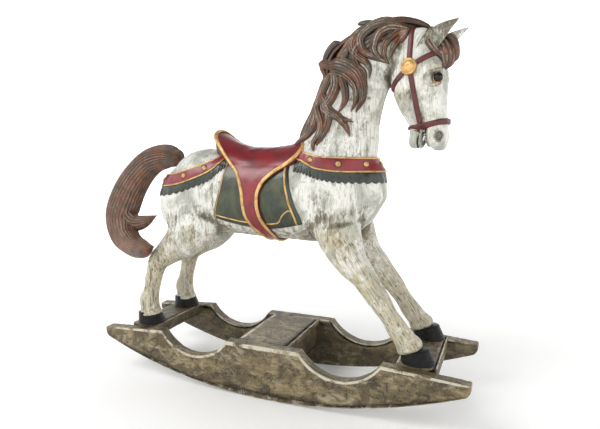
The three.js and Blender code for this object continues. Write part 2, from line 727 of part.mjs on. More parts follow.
// The forelock lies over the browband.
const browClear = solidOf(plate(headSkin, 16, 1, browRay, layer(-1, strap.thickness + 1.4 + tackLift)));
const forelock = new Loft(forelockSections, { turn: headTurn, pivot: headPivot }).solid(10, 9);
add("forelock", less(forelock, headGrown, maneGrown, browClear, ...earsGrown), hair);
for (const { name, sign, clear } of discs) {
  const cheek = strapSolid(headSkin, 6, strapDown([rosette.x + 1, rosette.z - 4], [184.5, 318.6], sign));
  add(`cheek_strap_${name}`, less(cheek, clear), bridleRed);
  const throat = strapSolid(headAndNeckSkin, 5, strapDown([rosette.x - 4, rosette.z - 3], [152.5, 352.5], sign));
  add(`throat_strap_${name}`, less(throat, clear, cheek, headGrown), bridleRed);
}

export default horse;
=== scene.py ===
import math
import bpy
import numpy as np
from mathutils import Matrix


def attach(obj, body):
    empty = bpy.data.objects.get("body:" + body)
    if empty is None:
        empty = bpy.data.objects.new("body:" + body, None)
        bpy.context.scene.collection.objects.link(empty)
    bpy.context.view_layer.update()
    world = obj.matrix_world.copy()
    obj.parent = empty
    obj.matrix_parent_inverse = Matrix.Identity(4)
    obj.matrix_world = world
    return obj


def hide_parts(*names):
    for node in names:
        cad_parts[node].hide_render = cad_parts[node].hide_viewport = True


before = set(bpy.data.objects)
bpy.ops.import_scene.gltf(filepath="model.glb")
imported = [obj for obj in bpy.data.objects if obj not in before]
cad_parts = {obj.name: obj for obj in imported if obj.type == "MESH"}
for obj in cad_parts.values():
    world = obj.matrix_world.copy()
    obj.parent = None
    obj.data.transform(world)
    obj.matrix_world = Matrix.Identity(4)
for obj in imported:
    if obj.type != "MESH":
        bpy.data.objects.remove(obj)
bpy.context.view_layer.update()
mm = 0.001
print("frame loaded:", len(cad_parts), "nodes")


# Small helpers.
# Smooth path through the rows of a table: a Catmull-Rom cubic whose knots are spaced by the square root
# of the distance between rows, found by blending neighbours in pairs three times.
def smoothPath(rows, count):
    p = np.asarray(rows, float)
    spans = len(p) - 1
    p = np.vstack([2 * p[0] - p[1], p, 2 * p[-1] - p[-2]])
    step = np.maximum(np.linalg.norm(np.diff(p[:, :3], axis=0), axis=1), 1e-6) ** 0.5
    knot = np.concatenate([[0.0], np.cumsum(step)])
    s = np.linspace(0, spans, count)
    i = np.minimum(s.astype(int), spans - 1)
    k = [knot[i + n][:, None] for n in range(4)]
    q = [p[i + n] for n in range(4)]
    t = k[1] + (s - i)[:, None] * (k[2] - k[1])
    mix = lambda a, b, ka, kb: (a * (kb - t) + b * (t - ka)) / (kb - ka)
    a = [mix(q[n], q[n + 1], k[n], k[n + 1]) for n in range(3)]
    b = [mix(a[0], a[1], k[0], k[2]), mix(a[1], a[2], k[1], k[3])]
    return mix(b[0], b[1], k[1], k[2])


# Vectors divided by their own length.
def unit(v):
    return v / np.maximum(np.linalg.norm(v, axis=-1, keepdims=True), 1e-12)


# Gentle unevenness: the mean of sine waves in fixed random directions, about one wave per size.
def waves(p, size, seed, count=9):
    rng = np.random.default_rng(seed)
    way = unit(rng.normal(size=(count, 3))) * rng.uniform(0.6, 1.5, (count, 1)) * 2 * np.pi / size
    return np.sin(p @ way.T + rng.uniform(0, 6.28, count)).mean(-1) * 1.8


# Rings round a spine: centre + depth * cos(angle) along the spine's upper side + width * sin(angle) in Y.
# rows are [x, y, z, half depth, half width] in mm; power 2 is an ellipse, more is squarer.
def loftGrid(rows, rings, around, mirror=1, power=2.0):
    path = smoothPath(rows, rings) * mm
    centre = path[:, :3] * [1, mirror, 1]
    size = np.maximum(path[:, 3:5], 0)
    way = np.gradient(centre, axis=0)
    upper = unit(np.stack([-way[:, 2], 0 * way[:, 0], way[:, 0]], 1))
    angle = np.linspace(0, 2 * np.pi, around, endpoint=False)
    bend = lambda v: np.sign(v) * np.abs(v) ** (2 / power)
    c, s = bend(np.cos(angle)), bend(np.sin(angle))
    grid = centre[:, None] + upper[:, None] * (size[:, :1] * c)[..., None]
    grid[..., 1] += size[:, 1:] * s
    return grid


# Quads of a grid of rings; closed joins the last column to the first.
def quadsOf(rings, around, closed=True):
    r = np.arange(rings - 1)[:, None] * around
    a = np.arange(around if closed else around - 1)[None]
    b = (a + 1) % around
    return np.stack([r + a, r + b, r + around + b, r + around + a], -1).reshape(-1, 4)


def link(piece):
    bpy.context.scene.collection.objects.link(piece)
    return piece


# Six times the volume inside arrays of quads or triangles, as a sum of corner triple products; it is below
# zero if they face inwards.
def signedVolume(points, faceSets):
    total = 0.0
    for f in faceSets:
        for k in range(1, f.shape[1] - 1):
            a, b, c = points[f[:, 0]], points[f[:, k]], points[f[:, k + 1]]
            total += np.einsum("ij,ij->i", a, np.cross(b, c)).sum()
    return total


# Puts a value from 0 to 1 on each point of a mesh, for the materials to read.
def markPoints(mesh, key, value):
    layer = mesh.attributes.new(key, "FLOAT", "POINT")
    layer.data.foreach_set("value", np.clip(value, 0, 1).astype(np.float32).ravel())


# A mesh object from points and arrays of faces, turned to face out, with any per-point values as attributes.
def meshPiece(name, points, faceSets, values=None):
    if signedVolume(points, faceSets) < 0:
        faceSets = [f[:, ::-1] for f in faceSets]
    mesh = bpy.data.meshes.new(name)
    mesh.from_pydata(points.tolist(), [], [face for f in faceSets for face in f.tolist()])
    for key, value in (values or {}).items():
        markPoints(mesh, key, value)
    mesh.polygons.foreach_set("use_smooth", np.ones(len(mesh.polygons), bool))
    mesh.validate()
    return link(bpy.data.objects.new(name, mesh))


# Several closed tubes as one mesh. Each is (grid, values): its first and last rings are closed by a point
# at their middle.
def tubesPiece(name, tubes):
    points, faceSets, values, start = [], [], {}, 0
    for grid, marks in tubes:
        rings, around = grid.shape[:2]
        body = np.vstack([grid.reshape(-1, 3), grid[0].mean(0), grid[-1].mean(0)])
        a = np.arange(around)
        b = (a + 1) % around
        top, tip = (rings - 1) * around, np.full(around, rings * around)
        sets = [quadsOf(rings, around), np.stack([b, a, tip], 1), np.stack([a + top, b + top, tip + 1], 1)]
        if signedVolume(body, sets) < 0:
            sets = [f[:, ::-1] for f in sets]
        faceSets += [f + start for f in sets]
        points.append(body)
        for key, value in marks.items():
            value = np.broadcast_to(value, (rings, around))
            values.setdefault(key, []).append(
                np.concatenate([value.ravel(), [value[0].mean(), value[-1].mean()]]))
        start += len(body)
    return meshPiece(name, np.vstack(points), faceSets, {k: np.concatenate(v) for k, v in values.items()})


# Closed loops of a closed section, as one mesh: quads join each point to the next both ways round.
def loopPiece(name, grids):
    points, faceSets, start = [], [], 0
    for grid in grids:
        rings, around = grid.shape[:2]
        r, a = np.arange(rings)[:, None], np.arange(around)[None]
        at = lambda i, j: (i % rings) * around + j % around
        faces = np.stack([at(r, a), at(r, a + 1), at(r + 1, a + 1), at(r + 1, a)], -1).reshape(-1, 4)
        if signedVolume(grid.reshape(-1, 3), [faces]) < 0:
            faces = faces[:, ::-1]
        faceSets.append(faces + start)
        points.append(grid.reshape(-1, 3))
        start += rings * around
    return meshPiece(name, np.vstack(points), faceSets)


# A plate between an outer and an inner grid that match point for point, closed along every free edge.
def plateFaces(rings, across, closedRings=False):
    n = rings * across
    rows = rings if closedRings else rings - 1
    r = np.arange(rows)[:, None]
    c = np.arange(across - 1)[None]
    at = lambda i, j: (i % rings) * across + j
    outer = np.stack([at(r, c), at(r, c + 1), at(r + 1, c + 1), at(r + 1, c)], -1).reshape(-1, 4)
    faces = [outer, outer[:, ::-1] + n]
    i = np.arange(rows)
    for j, flip in ((0, False), (across - 1, True)):
        side = np.stack([at(i, j), at(i + 1, j), at(i + 1, j) + n, at(i, j) + n], 1)
        faces.append(side[:, ::-1] if flip else side)
    if not closedRings:
        j = np.arange(across - 1)
        for k, flip in ((0, True), (rings - 1, False)):
            side = np.stack([at(k, j), at(k, j + 1), at(k, j + 1) + n, at(k, j) + n], 1)
            faces.append(side[:, ::-1] if flip else side)
    return np.vstack(faces)


# The plate as an object; a value given once per outer point also serves the inner one.
def platePiece(name, outer, inner, values=None, closedRings=False):
    points = np.vstack([outer.reshape(-1, 3), inner.reshape(-1, 3)])
    faces = plateFaces(outer.shape[0], outer.shape[1], closedRings)
    marks = {k: np.tile(np.broadcast_to(v, outer.shape[:2]).ravel(), 2) for k, v in (values or {}).items()}
    return meshPiece(name, points, [faces], marks)


# Unit normals of a grid, from the cross product of its two directions, pointing away from a centre.
def gridNormals(grid, away, closedRings=False):
    if closedRings:
        along = np.roll(grid, -1, 0) - np.roll(grid, 1, 0)
    else:
        along = np.gradient(grid, axis=0)
    normal = unit(np.cross(along, np.gradient(grid, axis=1)))
    side = np.sign(np.einsum("ijk,ijk->ij", normal, grid - away))
    return normal * np.where(side == 0, 1, side)[..., None]


# Mesh arrays of an object once its modifiers have been worked out.
def settledMesh(piece):
    seen = piece.evaluated_get(bpy.context.evaluated_depsgraph_get())
    return bpy.data.meshes.new_from_object(seen)


# One kind of value read off a whole mesh, as rows of an array.
def readRows(items, key, across, kind=np.float32):
    flat = np.empty(len(items) * across, kind)
    items.foreach_get(key, flat)
    return flat.reshape(-1, across)


def pointsOf(mesh):
    return readRows(mesh.vertices, "co", 3).astype(float)


def normalsOf(mesh):
    return readRows(mesh.vertex_normals, "vector", 3).astype(float)


def edgesOf(mesh):
    return readRows(mesh.edges, "vertices", 2, np.int32)


def quadCornersOf(mesh):
    return readRows(mesh.loops, "vertex_index", 1, np.int32).reshape(-1, 4)


def movePoints(mesh, points):
    mesh.vertices.foreach_set("co", points.astype(np.float32).ravel())
    mesh.update()


# Each point moves towards the mean of its neighbours, rounds times; weight says how far.
def relax(points, edges, rounds, weight=0.5):
    n = len(points)
    share = np.bincount(edges.ravel(), minlength=n)[:, None]
    weight = np.broadcast_to(weight, n)[:, None]
    for _ in range(rounds):
        total = np.stack([np.bincount(edges[:, 0], points[edges[:, 1], k], n)
                          + np.bincount(edges[:, 1], points[edges[:, 0], k], n) for k in range(3)], 1)
        points = points + weight * (total / np.maximum(share, 1) - points)
    return points


# Lays a grid of points on a surface, at a height above the nearest point of it.
def layOn(grid, target, height):
    probe = link(bpy.data.objects.new("probe", bpy.data.meshes.new("probe")))
    probe.data.from_pydata(grid.reshape(-1, 3).tolist(), [], [])
    wrap = probe.modifiers.new("wrap", "SHRINKWRAP")
    wrap.target, wrap.wrap_mode, wrap.offset = target, "ABOVE_SURFACE", height
    laid = pointsOf(settledMesh(probe)).reshape(grid.shape)
    bpy.data.objects.remove(probe)
    return laid


# Gives a finished piece its material, hangs it on the root body and hides the frame parts it stands for.
def finish(piece, material, slotName, *nodes):
    piece.data.materials.clear()
    piece.data.materials.append(material)
    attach(piece, "root")
    if nodes:
        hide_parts(*nodes)
    return piece


# Materials.
# A material's nodes, made one at a time.
class Recipe:
    def __init__(self, name):
        self.material = bpy.data.materials.new(name)
        self.material.use_nodes = True
        self.tree = self.material.node_tree
        self.shader = self.tree.nodes["Principled BSDF"]
        self.coords = self.add("ShaderNodeTexCoord").outputs["Object"]

    def add(self, kind, inputs=None, **settings):
        node = self.tree.nodes.new(kind)
        for key, value in settings.items():
            setattr(node, key, value)
        for key, value in (inputs or {}).items():
            self.put(node.inputs[key], value)
        return node

    def put(self, socket, value):
        if isinstance(value, bpy.types.NodeSocket):
            self.tree.links.new(value, socket)
        elif isinstance(value, tuple) and len(value) == 3 and socket.type == "RGBA":
            socket.default_value = (*value, 1)
        else:
            socket.default_value = value

    # Noise with features about size metres across; stretch is how many times longer they are in X, Y, Z,
    # once turned about Y by tilt.
    def noise(self, size, stretch=(1, 1, 1), detail=4.0, rough=0.55, twist=0.0, tilt=0.0):
        place = self.add("ShaderNodeMapping", {"Vector": self.coords, "Scale": tuple(stretch),
                                               "Rotation": (0, tilt, 0)}, vector_type="TEXTURE")
        made = self.add("ShaderNodeTexNoise", {"Vector": place.outputs[0], "Scale": 1 / size, "Detail": detail,
                                               "Roughness": rough, "Distortion": twist})
        return made.outputs["Fac"]

    # A per-point value of the piece, by its name.
    def value(self, name):
        return self.add("ShaderNodeAttribute", attribute_name=name).outputs["Fac"]

    def math(self, operation, a, b):
        node = self.add("ShaderNodeMath", operation=operation)
        self.put(node.inputs[0], a)
        self.put(node.inputs[1], b)
        return node.outputs[0]

    def plus(self, a, b):
        return self.math("ADD", a, b)

    def minus(self, a, b):
        return self.math("SUBTRACT", a, b)

    def times(self, a, b):
        return self.math("MULTIPLY", a, b)

    # Smooth step: low gives 0, high gives 1, limited to that range.
    def ramp(self, source, low, high):
        node = self.add("ShaderNodeMapRange", {"Value": source, "From Min": low, "From Max": high},
                        interpolation_type="SMOOTHSTEP")
        return node.outputs["Result"]

    # Colour a at factor 0, colour b at factor 1.
    def blend(self, factor, a, b):
        node = self.add("ShaderNodeMix", data_type="RGBA")
        self.put(node.inputs[0], factor)
        self.put(node.inputs[6], a)
        self.put(node.inputs[7], b)
        return node.outputs[2]

    def bump(self, height, distance, strength):
        inputs = {"Height": height, "Distance": distance, "Strength": strength}
        return self.add("ShaderNodeBump", inputs).outputs[0]

    # Colour, roughness and bump are linked; anything fixed is set on the shader's own socket.
    def done(self, color, roughness, normal=None, **fixed):
        self.put(self.shader.inputs["Base Color"], color)
        self.put(self.shader.inputs["Roughness"], roughness)
        if normal is not None:
            self.put(self.shader.inputs["Normal"], normal)
        for key, value in fixed.items():
            self.put(self.shader.inputs[key.replace("_", " ")], value)
        return self.material


# Off-white paint brushed over the wood, with a brown wash left in the hollows and in patches, and painted shade
# in the crease over each front leg, under the belly and at the elbows.
coatLook = {
    "white": (0.78, 0.77, 0.71), "grey": (0.34, 0.352, 0.29), "cream": (0.49, 0.425, 0.27),
    "wash": (0.140, 0.118, 0.068), "deep": (0.035, 0.028, 0.018), "streak": 0.0030, "patch": 0.026,
}


def coatPaint():
    look, r = coatLook, Recipe("coatPaint")
    ahead = r.ramp(r.add("ShaderNodeSeparateXYZ", {0: r.coords}).outputs["X"], 0.075, 0.105)
    low = r.ramp(r.add("ShaderNodeSeparateXYZ", {0: r.coords}).outputs["Z"], 0.215, 0.185)
    slant = r.times(ahead, low)
    pick = lambda size, stretch, detail, rough: r.blend(  # strokes run down the body, and along the front legs
        slant, *[r.noise(size, (1, 1, stretch), detail, rough, 0.5, tilt) for tilt in (0.0, -0.6)])
    streak = pick(look["streak"], 6, 6.0, 0.68)
    hair = pick(0.0013, 12, 4.0, 0.62)
    fine = r.noise(0.0011, (1, 1, 3), 3.0, 0.65)
    patch = r.noise(look["patch"], (1, 1, 1.6), 5.0, 0.62, 0.8)
    blot = r.noise(0.008, (1, 1, 1.3), 5.0, 0.65, 1.0)
    hollowAndShade, wearAndShade = r.value("hollowAndShade"), r.value("wearAndShade")
    base = r.blend(r.times(r.ramp(patch, 0.44, 0.62), 0.8), look["white"], look["grey"])
    tan = r.plus(wearAndShade, r.times(r.minus(blot, 0.5), 2.6))
    base = r.blend(r.times(r.ramp(tan, 0.25, 1.05), 0.85), base, look["cream"])
    # washAndShade: brown wash from streaks, blots and hollows, plus the painted shade carried by hollowAndShade
    # and wearAndShade
    washAndShade = r.plus(r.times(streak, 0.5), r.times(blot, 0.5))
    washAndShade = r.plus(washAndShade, r.times(wearAndShade, 0.15))
    washAndShade = r.plus(washAndShade, r.times(r.minus(hollowAndShade, 0.5), 0.8))
    washAndShade = r.plus(washAndShade, r.times(r.minus(fine, 0.5), 0.30))
    color = r.blend(r.times(r.ramp(washAndShade, 0.46, 0.68), 0.9), base, look["wash"])
    lines = r.times(r.ramp(hair, 0.51, 0.63), r.plus(0.28, r.times(wearAndShade, 0.75)))
    color = r.blend(r.times(lines, 0.8), color, look["deep"])
    # the deep colour in the deepest hollows, and as painted shade in the crease over each front leg
    color = r.blend(r.ramp(r.plus(hollowAndShade, r.times(r.minus(streak, 0.5), 0.9)), 0.62, 0.90),
                    color, look["deep"])
    height = r.plus(streak, r.times(fine, 0.6))
    height = r.minus(r.plus(height, r.times(blot, 1.2)), r.times(hair, 0.7))
    rough = r.plus(0.26, r.times(streak, 0.35))
    return r.done(color, rough, r.bump(height, 0.0015, 0.9))


# Brown carved hair: dark green-grey in the grooves, red-brown on the strands, and pale on the tops of the ridges,
# rubbed paint together with a painted highlight.
hairLook = {"groove": (0.013, 0.012, 0.009), "strand": (0.078, 0.031, 0.017), "warm": (0.165, 0.058, 0.022),
            "rubbedAndHighlight": (0.50, 0.44, 0.35), "moss": (0.064, 0.059, 0.038)}


# pale sets how strong the rubbed paint and painted highlight on the ridges are; mossy how much moss colour shows
def hairPaint(name="hairPaint", mossy=0.75, pale=0.75):
    look, r = hairLook, Recipe(name)
    ridge = r.value("ridge")
    patch = r.noise(0.012, (1, 1, 1.5), 4.0, 0.6, 0.5)
    fine = r.noise(0.0011, (1, 1, 2), 3.0, 0.65)
    base = r.blend(r.ramp(patch, 0.40, 0.62), look["strand"], look["warm"])
    moss = r.ramp(r.noise(0.017, (1, 1, 1), 4.0, 0.6, 0.6), 0.44, 0.60)
    base = r.blend(r.times(moss, mossy), base, look["moss"])
    color = r.blend(r.ramp(r.plus(ridge, r.times(r.minus(fine, 0.5), 0.5)), 0.24, 0.76),
                    look["groove"], base)
    # pale on the tops of the ridges: rubbed paint together with a painted highlight
    rubbedAndHighlight = r.ramp(r.noise(0.010, (1, 1, 1), 4.0, 0.65), 0.42, 0.58)
    rubAndHighlight = r.times(r.ramp(r.plus(ridge, r.times(fine, 0.8)), 1.16, 1.50), r.times(rubbedAndHighlight, pale))
    color = r.blend(rubAndHighlight, color, look["rubbedAndHighlight"])
    return r.done(color, r.plus(0.24, r.times(fine, 0.3)), r.bump(fine, 0.0005, 0.6))


# Deep red gloss paint, darker where it has aged.
def redPaint():
    r = Recipe("redPaint")
    patch = r.noise(0.018, (1, 1, 1), 5.0, 0.65, 0.5)
    fine = r.noise(0.0016, (1, 1, 1), 3.0, 0.6)
    color = r.blend(r.ramp(patch, 0.36, 0.70), (0.225, 0.008, 0.013), (0.115, 0.006, 0.009))
    color = r.blend(r.times(r.ramp(fine, 0.62, 0.80), 0.35), color, (0.06, 0.006, 0.008))
    color = r.blend(r.times(r.value("edge"), 0.5), color, (0.05, 0.006, 0.008))
    return r.done(color, r.plus(0.20, r.times(patch, 0.28)), r.bump(fine, 0.0003, 0.35),
                  Coat_Weight=0.25, Coat_Roughness=0.2)


# Bottle-green gloss paint with olive patches.
def greenPaint(name="greenPaint", dark=(0.012, 0.021, 0.008), olive=(0.050, 0.055, 0.012)):
    r = Recipe(name)
    patch = r.noise(0.020, (1, 1, 1.4), 5.0, 0.6, 0.4)
    fine = r.noise(0.0018, (1, 1, 1), 3.0, 0.6)
    color = r.blend(r.ramp(patch, 0.40, 0.66), dark, olive)
    color = r.blend(r.times(r.ramp(fine, 0.60, 0.78), 0.4), color, (0.010, 0.012, 0.008))
    color = r.blend(r.times(r.value("edge"), 0.6), color, (0.006, 0.008, 0.005))
    return r.done(color, r.plus(0.17, r.times(patch, 0.25)), r.bump(fine, 0.0005, 0.6),
                  Coat_Weight=0.3, Coat_Roughness=0.18)


# Gold paint, rubbed through to brown in places.
def goldPaint():
    r = Recipe("goldPaint")
    fine = r.noise(0.0016, (1, 1, 1), 4.0, 0.6)
    patch = r.noise(0.007, (1, 1, 1), 4.0, 0.6)
    color = r.blend(r.ramp(patch, 0.40, 0.68), (0.66, 0.42, 0.16), (0.42, 0.23, 0.075))
    color = r.blend(r.times(r.ramp(fine, 0.60, 0.74), 0.7), color, (0.10, 0.050, 0.020))
    return r.done(color, r.plus(0.26, r.times(fine, 0.25)), r.bump(fine, 0.0003, 0.4),
                  Metallic=0.45)


# Dark maroon strap paint.
def bridlePaint():
    r = Recipe("bridlePaint")
    fine = r.noise(0.0016, (1, 1, 1), 4.0, 0.6)
    patch = r.noise(0.006, (1, 1, 1), 4.0, 0.6)
    color = r.blend(r.ramp(patch, 0.38, 0.70), (0.105, 0.014, 0.012), (0.050, 0.012, 0.009))
    color = r.blend(r.times(r.ramp(fine, 0.58, 0.74), 0.5), color, (0.02, 0.012, 0.009))
    return r.done(color, r.plus(0.28, r.times(fine, 0.25)), r.bump(fine, 0.0003, 0.5))


# Black horn with a soft polish, faintly streaked grey up and down.
def hoofPaint():
    r = Recipe("hoofPaint")
    fine = r.noise(0.0018, (1, 1, 5), 4.0, 0.6)
    color = r.blend(r.ramp(fine, 0.42, 0.78), (0.004, 0.004, 0.004), (0.014, 0.013, 0.012))
    return r.done(color, r.plus(0.22, r.times(fine, 0.3)), r.bump(fine, 0.0004, 0.5),
                  Specular_IOR_Level=0.18)


# Stained base: olive brown, dark in its pores, rubbed to cream on the edges with a painted highlight there too,
# and darkened by painted shade where paintedShade is marked.
baseLook = {"olive": (0.095, 0.068, 0.027), "tan": (0.29, 0.225, 0.115), "dark": (0.016, 0.012, 0.006),
            "rubbedAndHighlight": (0.62, 0.57, 0.45), "pale": (0.40, 0.345, 0.235)}


def basePaint():
    look, r = baseLook, Recipe("basePaint")
    grain = r.noise(0.0024, (7, 7, 1), 5.0, 0.6, 0.5)
    patch = r.noise(0.030, (1.4, 1, 1), 6.0, 0.68, 0.9)
    blot = r.noise(0.009, (1.3, 1.3, 1), 6.0, 0.7, 1.0)
    fine = r.noise(0.0014, (1, 1, 1), 4.0, 0.7)
    edge = r.value("edge")
    color = r.blend(r.ramp(patch, 0.40, 0.60), look["olive"], look["tan"])
    color = r.blend(r.times(r.ramp(grain, 0.42, 0.60), 0.55), color, look["olive"])
    stain = r.plus(r.times(fine, 0.35), r.times(blot, 0.65))
    color = r.blend(r.times(r.ramp(stain, 0.46, 0.60), 0.92), color, look["dark"])
    chalk = r.ramp(r.noise(0.015, (1.5, 1, 1), 6.0, 0.7, 0.8), 0.54, 0.66)
    color = r.blend(r.times(chalk, 0.55), color, look["pale"])
    # rubAndHighlight: cream on the edges and in blots, rubbed wear together with a painted highlight on the edges
    rubAndHighlight = r.plus(r.times(edge, 1.15), r.times(r.minus(blot, 0.5), 2.4))
    rubAndHighlight = r.plus(rubAndHighlight, r.times(r.minus(fine, 0.5), 1.4))
    color = r.blend(r.times(r.ramp(rubAndHighlight, 0.46, 0.95), 0.92), color, look["rubbedAndHighlight"])
    # painted shade: darker on the runners' inner faces, on the rails under the platform and low on each bar
    color = r.blend(r.times(r.value("paintedShade"), 0.85), color, look["dark"])
    height = r.plus(r.plus(grain, fine), blot)
    return r.done(color, r.plus(0.30, r.times(fine, 0.35)), r.bump(height, 0.0009, 0.8))


# A small part's paint: one fine noise mixes its light and dark colours.
def plainPaint(name, light, dark, rough, size=0.003, **fixed):
    r = Recipe(name)
    fine = r.noise(size, (1, 1, 1), 4.0, 0.6)
    color = r.blend(r.ramp(fine, 0.38, 0.66), light, dark)
    return r.done(color, r.plus(rough, r.times(fine, 0.15)), r.bump(fine, 0.0002, 0.3), **fixed)


paints = {
    "coat": coatPaint(), "hair": hairPaint(), "tail": hairPaint("tailPaint", 0.45, 0.35),
    "red": redPaint(), "green": greenPaint(),
    "fringe": greenPaint("fringePaint", (0.005, 0.011, 0.005), (0.019, 0.033, 0.010)),
    "gold": goldPaint(), "bridle": bridlePaint(), "hoof": hoofPaint(), "base": basePaint(),
    "eye": plainPaint("eyePaint", (0.004, 0.004, 0.004), (0.010, 0.008, 0.007), 0.12,
                      Specular_IOR_Level=0.35),
    "eyeWhite": plainPaint("eyeWhitePaint", (0.46, 0.41, 0.32), (0.30, 0.17, 0.07), 0.2, 0.004),
    "amber": plainPaint("amberPaint", (0.62, 0.25, 0.06), (0.42, 0.14, 0.03), 0.3, 0.002),
    "tooth": plainPaint("toothPaint", (0.42, 0.41, 0.36), (0.12, 0.11, 0.085), 0.35, 0.002),
    "nostril": plainPaint("nostrilPaint", (0.16, 0.155, 0.135), (0.05, 0.046, 0.04), 0.4, 0.002),
    "mouth": plainPaint("mouthPaint", (0.030, 0.022, 0.018), (0.012, 0.010, 0.009), 0.4),
    "steel": plainPaint("steelPaint", (0.42, 0.42, 0.42), (0.30, 0.30, 0.30), 0.3, Metallic=0.9),
}
print("materials ready")


# The coat: torso, neck, head and legs as one carved skin. Rows are [x, y, z, half depth, half width] in mm.
coatShape = {"voxel": 1.63, "evening": 14, "seamEvening": 34,
             "seams": ((-100, 205, 45), (98, 205, 38), (95, 280, 42), (160, 385, 20))}
head = {"turn": math.radians(-8), "pivot": 150 * mm}


# The head is laid out facing ahead, then turned to the right about its pivot.
def turnHead(points, back=False):
    a = -head["turn"] if back else head["turn"]
    x, y = points[..., 0] - head["pivot"], points[..., 1]
    return np.stack([head["pivot"] + x * math.cos(a) - y * math.sin(a),
                     x * math.sin(a) + y * math.cos(a), points[..., 2]], -1)


torsoRows = [
    [-152, 0, 246, 0, 0], [-147, 0, 245, 20, 19], [-131, 0, 241, 38, 33], [-101, 0, 239, 53, 43],
    [-60, 0, 237, 52, 42], [-15, 0, 235, 52, 43], [30, 0, 234.5, 53, 44], [75, 0, 236, 54, 43],
    [101, 0, 244, 47.5, 38], [120, 0, 254, 35.5, 28], [134, 0, 262, 23, 17], [142, 0, 266, 0, 0],
]
neckRows = [
    [66, 0, 240, 0, 0], [76, 0, 258, 50, 34], [90, 0, 296, 45, 28], [99, 0, 330, 38, 22],
    [110, 0, 360, 35, 19], [130, 0, 385, 29, 17], [156, 0, 395, 20, 15], [170, 0, 396, 0, 0],
]
headRows = [
    [170, 0, 417, 0, 0], [172, 0, 412, 12, 11], [177, 0, 398, 21, 17], [178, 0, 383, 27, 20],
    [179, 0, 363, 30.5, 21.5], [182, 0, 345, 28, 19.5], [186, 0, 330, 23.5, 16.5], [190, 0, 320, 19.5, 14],
    [191, 0, 313.5, 13, 12], [192, 0, 311, 0, 0],
]
muzzleRows = [
    [194, 0, 330, 0, 0], [196, 0, 322, 13, 13], [199, 0, 310, 12, 13.5], [200, 0, 300, 11, 14.5],
    [200.5, 0, 294, 9.5, 13], [199.5, 0, 289, 5, 8], [199, 0, 287.5, 0, 0],
]
jawRows = [
    [181, 0, 332, 0, 0], [180, 0, 322, 9, 13], [178, 0, 310, 7.5, 12], [176.5, 0, 301, 7, 12],
    [175.5, 0, 294.5, 6.5, 11], [175, 0, 290.5, 3, 7], [175, 0, 289.5, 0, 0],
]
hindRows = [
    [-88, 20, 226, 0, 0], [-94, 24, 213, 33, 17], [-100, 28, 196, 34, 18.5], [-112, 31, 178, 27, 17],
    [-132, 35, 161, 18, 14], [-149, 37, 146, 13.5, 12.5], [-156, 38, 124, 10.6, 10.5],
    [-161, 38.5, 106, 10.6, 10.5], [-164.5, 39, 94, 13, 12.5], [-163, 39.5, 82, 12.5, 12],
    [-162, 39.5, 74, 14, 13.5], [-162, 39.5, 70, 0, 0],
]
foreRows = [
    [84, 20, 232, 0, 0], [90, 24, 214, 28, 17], [97, 28, 194, 27, 18.5], [112, 32, 167, 19.5, 16],
    [128, 34, 150, 15, 13.5], [140, 36, 134, 13, 12.5], [148, 37, 124, 12.2, 12], [158, 38, 110, 10.4, 10.2],
    [167, 38.5, 97, 11.8, 11.4], [175, 39, 87, 12, 11.6], [182, 39.5, 77, 14, 13.5], [184, 39.5, 71, 0, 0],
]
# Muscles laid on the lofts: [x, y, z, half sizes in X, Y, Z], one each side.
muscles = [
    [-108, 24, 222, 42, 21, 44], [93, 22, 228, 27, 21, 32], [113, 13, 250, 17, 16, 22],
    [-60, 12, 212, 24, 24, 18], [147, 43, 125, 9, 7.5, 11], [-158, 44, 122, 8, 7, 12],
]
# The same on the head, before it turns: cheek, brow, nostril and temple.
headMuscles = [
    [170, 11, 359, 15.5, 10.5, 17], [197, 13, 373, 10, 7.5, 5], [205, 8.5, 303, 6.5, 6, 6.5],
    [186, 10, 388, 12, 8, 9],
]


# An egg: centre plus half sizes times (sin t cos f, sin t sin f, cos t).
def blob(row, sign, rings=18, around=24):
    x, y, z, a, b, c = row
    t = np.linspace(0, np.pi, rings)[:, None]
    f = np.linspace(0, 2 * np.pi, around, endpoint=False)[None]
    return np.stack([x + a * np.sin(t) * np.cos(f), sign * (y + b * np.sin(t) * np.sin(f)),
                     z + c * np.cos(t) + 0 * f], -1) * mm


# Every loft and muscle together, melted into one skin by a voxel remesh.
def carveCoat():
    parts = [loftGrid(torsoRows, 90, 72, power=2.1), loftGrid(neckRows, 60, 56)]
    parts += [turnHead(loftGrid(rows, 60, 56, power=2.25)) for rows in (headRows, muzzleRows, jawRows)]
    for sign in (-1, 1):
        parts += [loftGrid(rows, 80, 40, sign) for rows in (hindRows, foreRows)]
        parts += [blob(row, sign) for row in muscles]
        parts += [turnHead(blob(row, sign)) for row in headMuscles]
    rough = tubesPiece("coat", [(part, {}) for part in parts])
    melt = rough.modifiers.new("melt", "REMESH")
    melt.mode, melt.voxel_size, melt.adaptivity = "VOXEL", coatShape["voxel"] * mm, 0
    mesh = settledMesh(rough)
    bpy.data.objects.remove(rough)
    return mesh


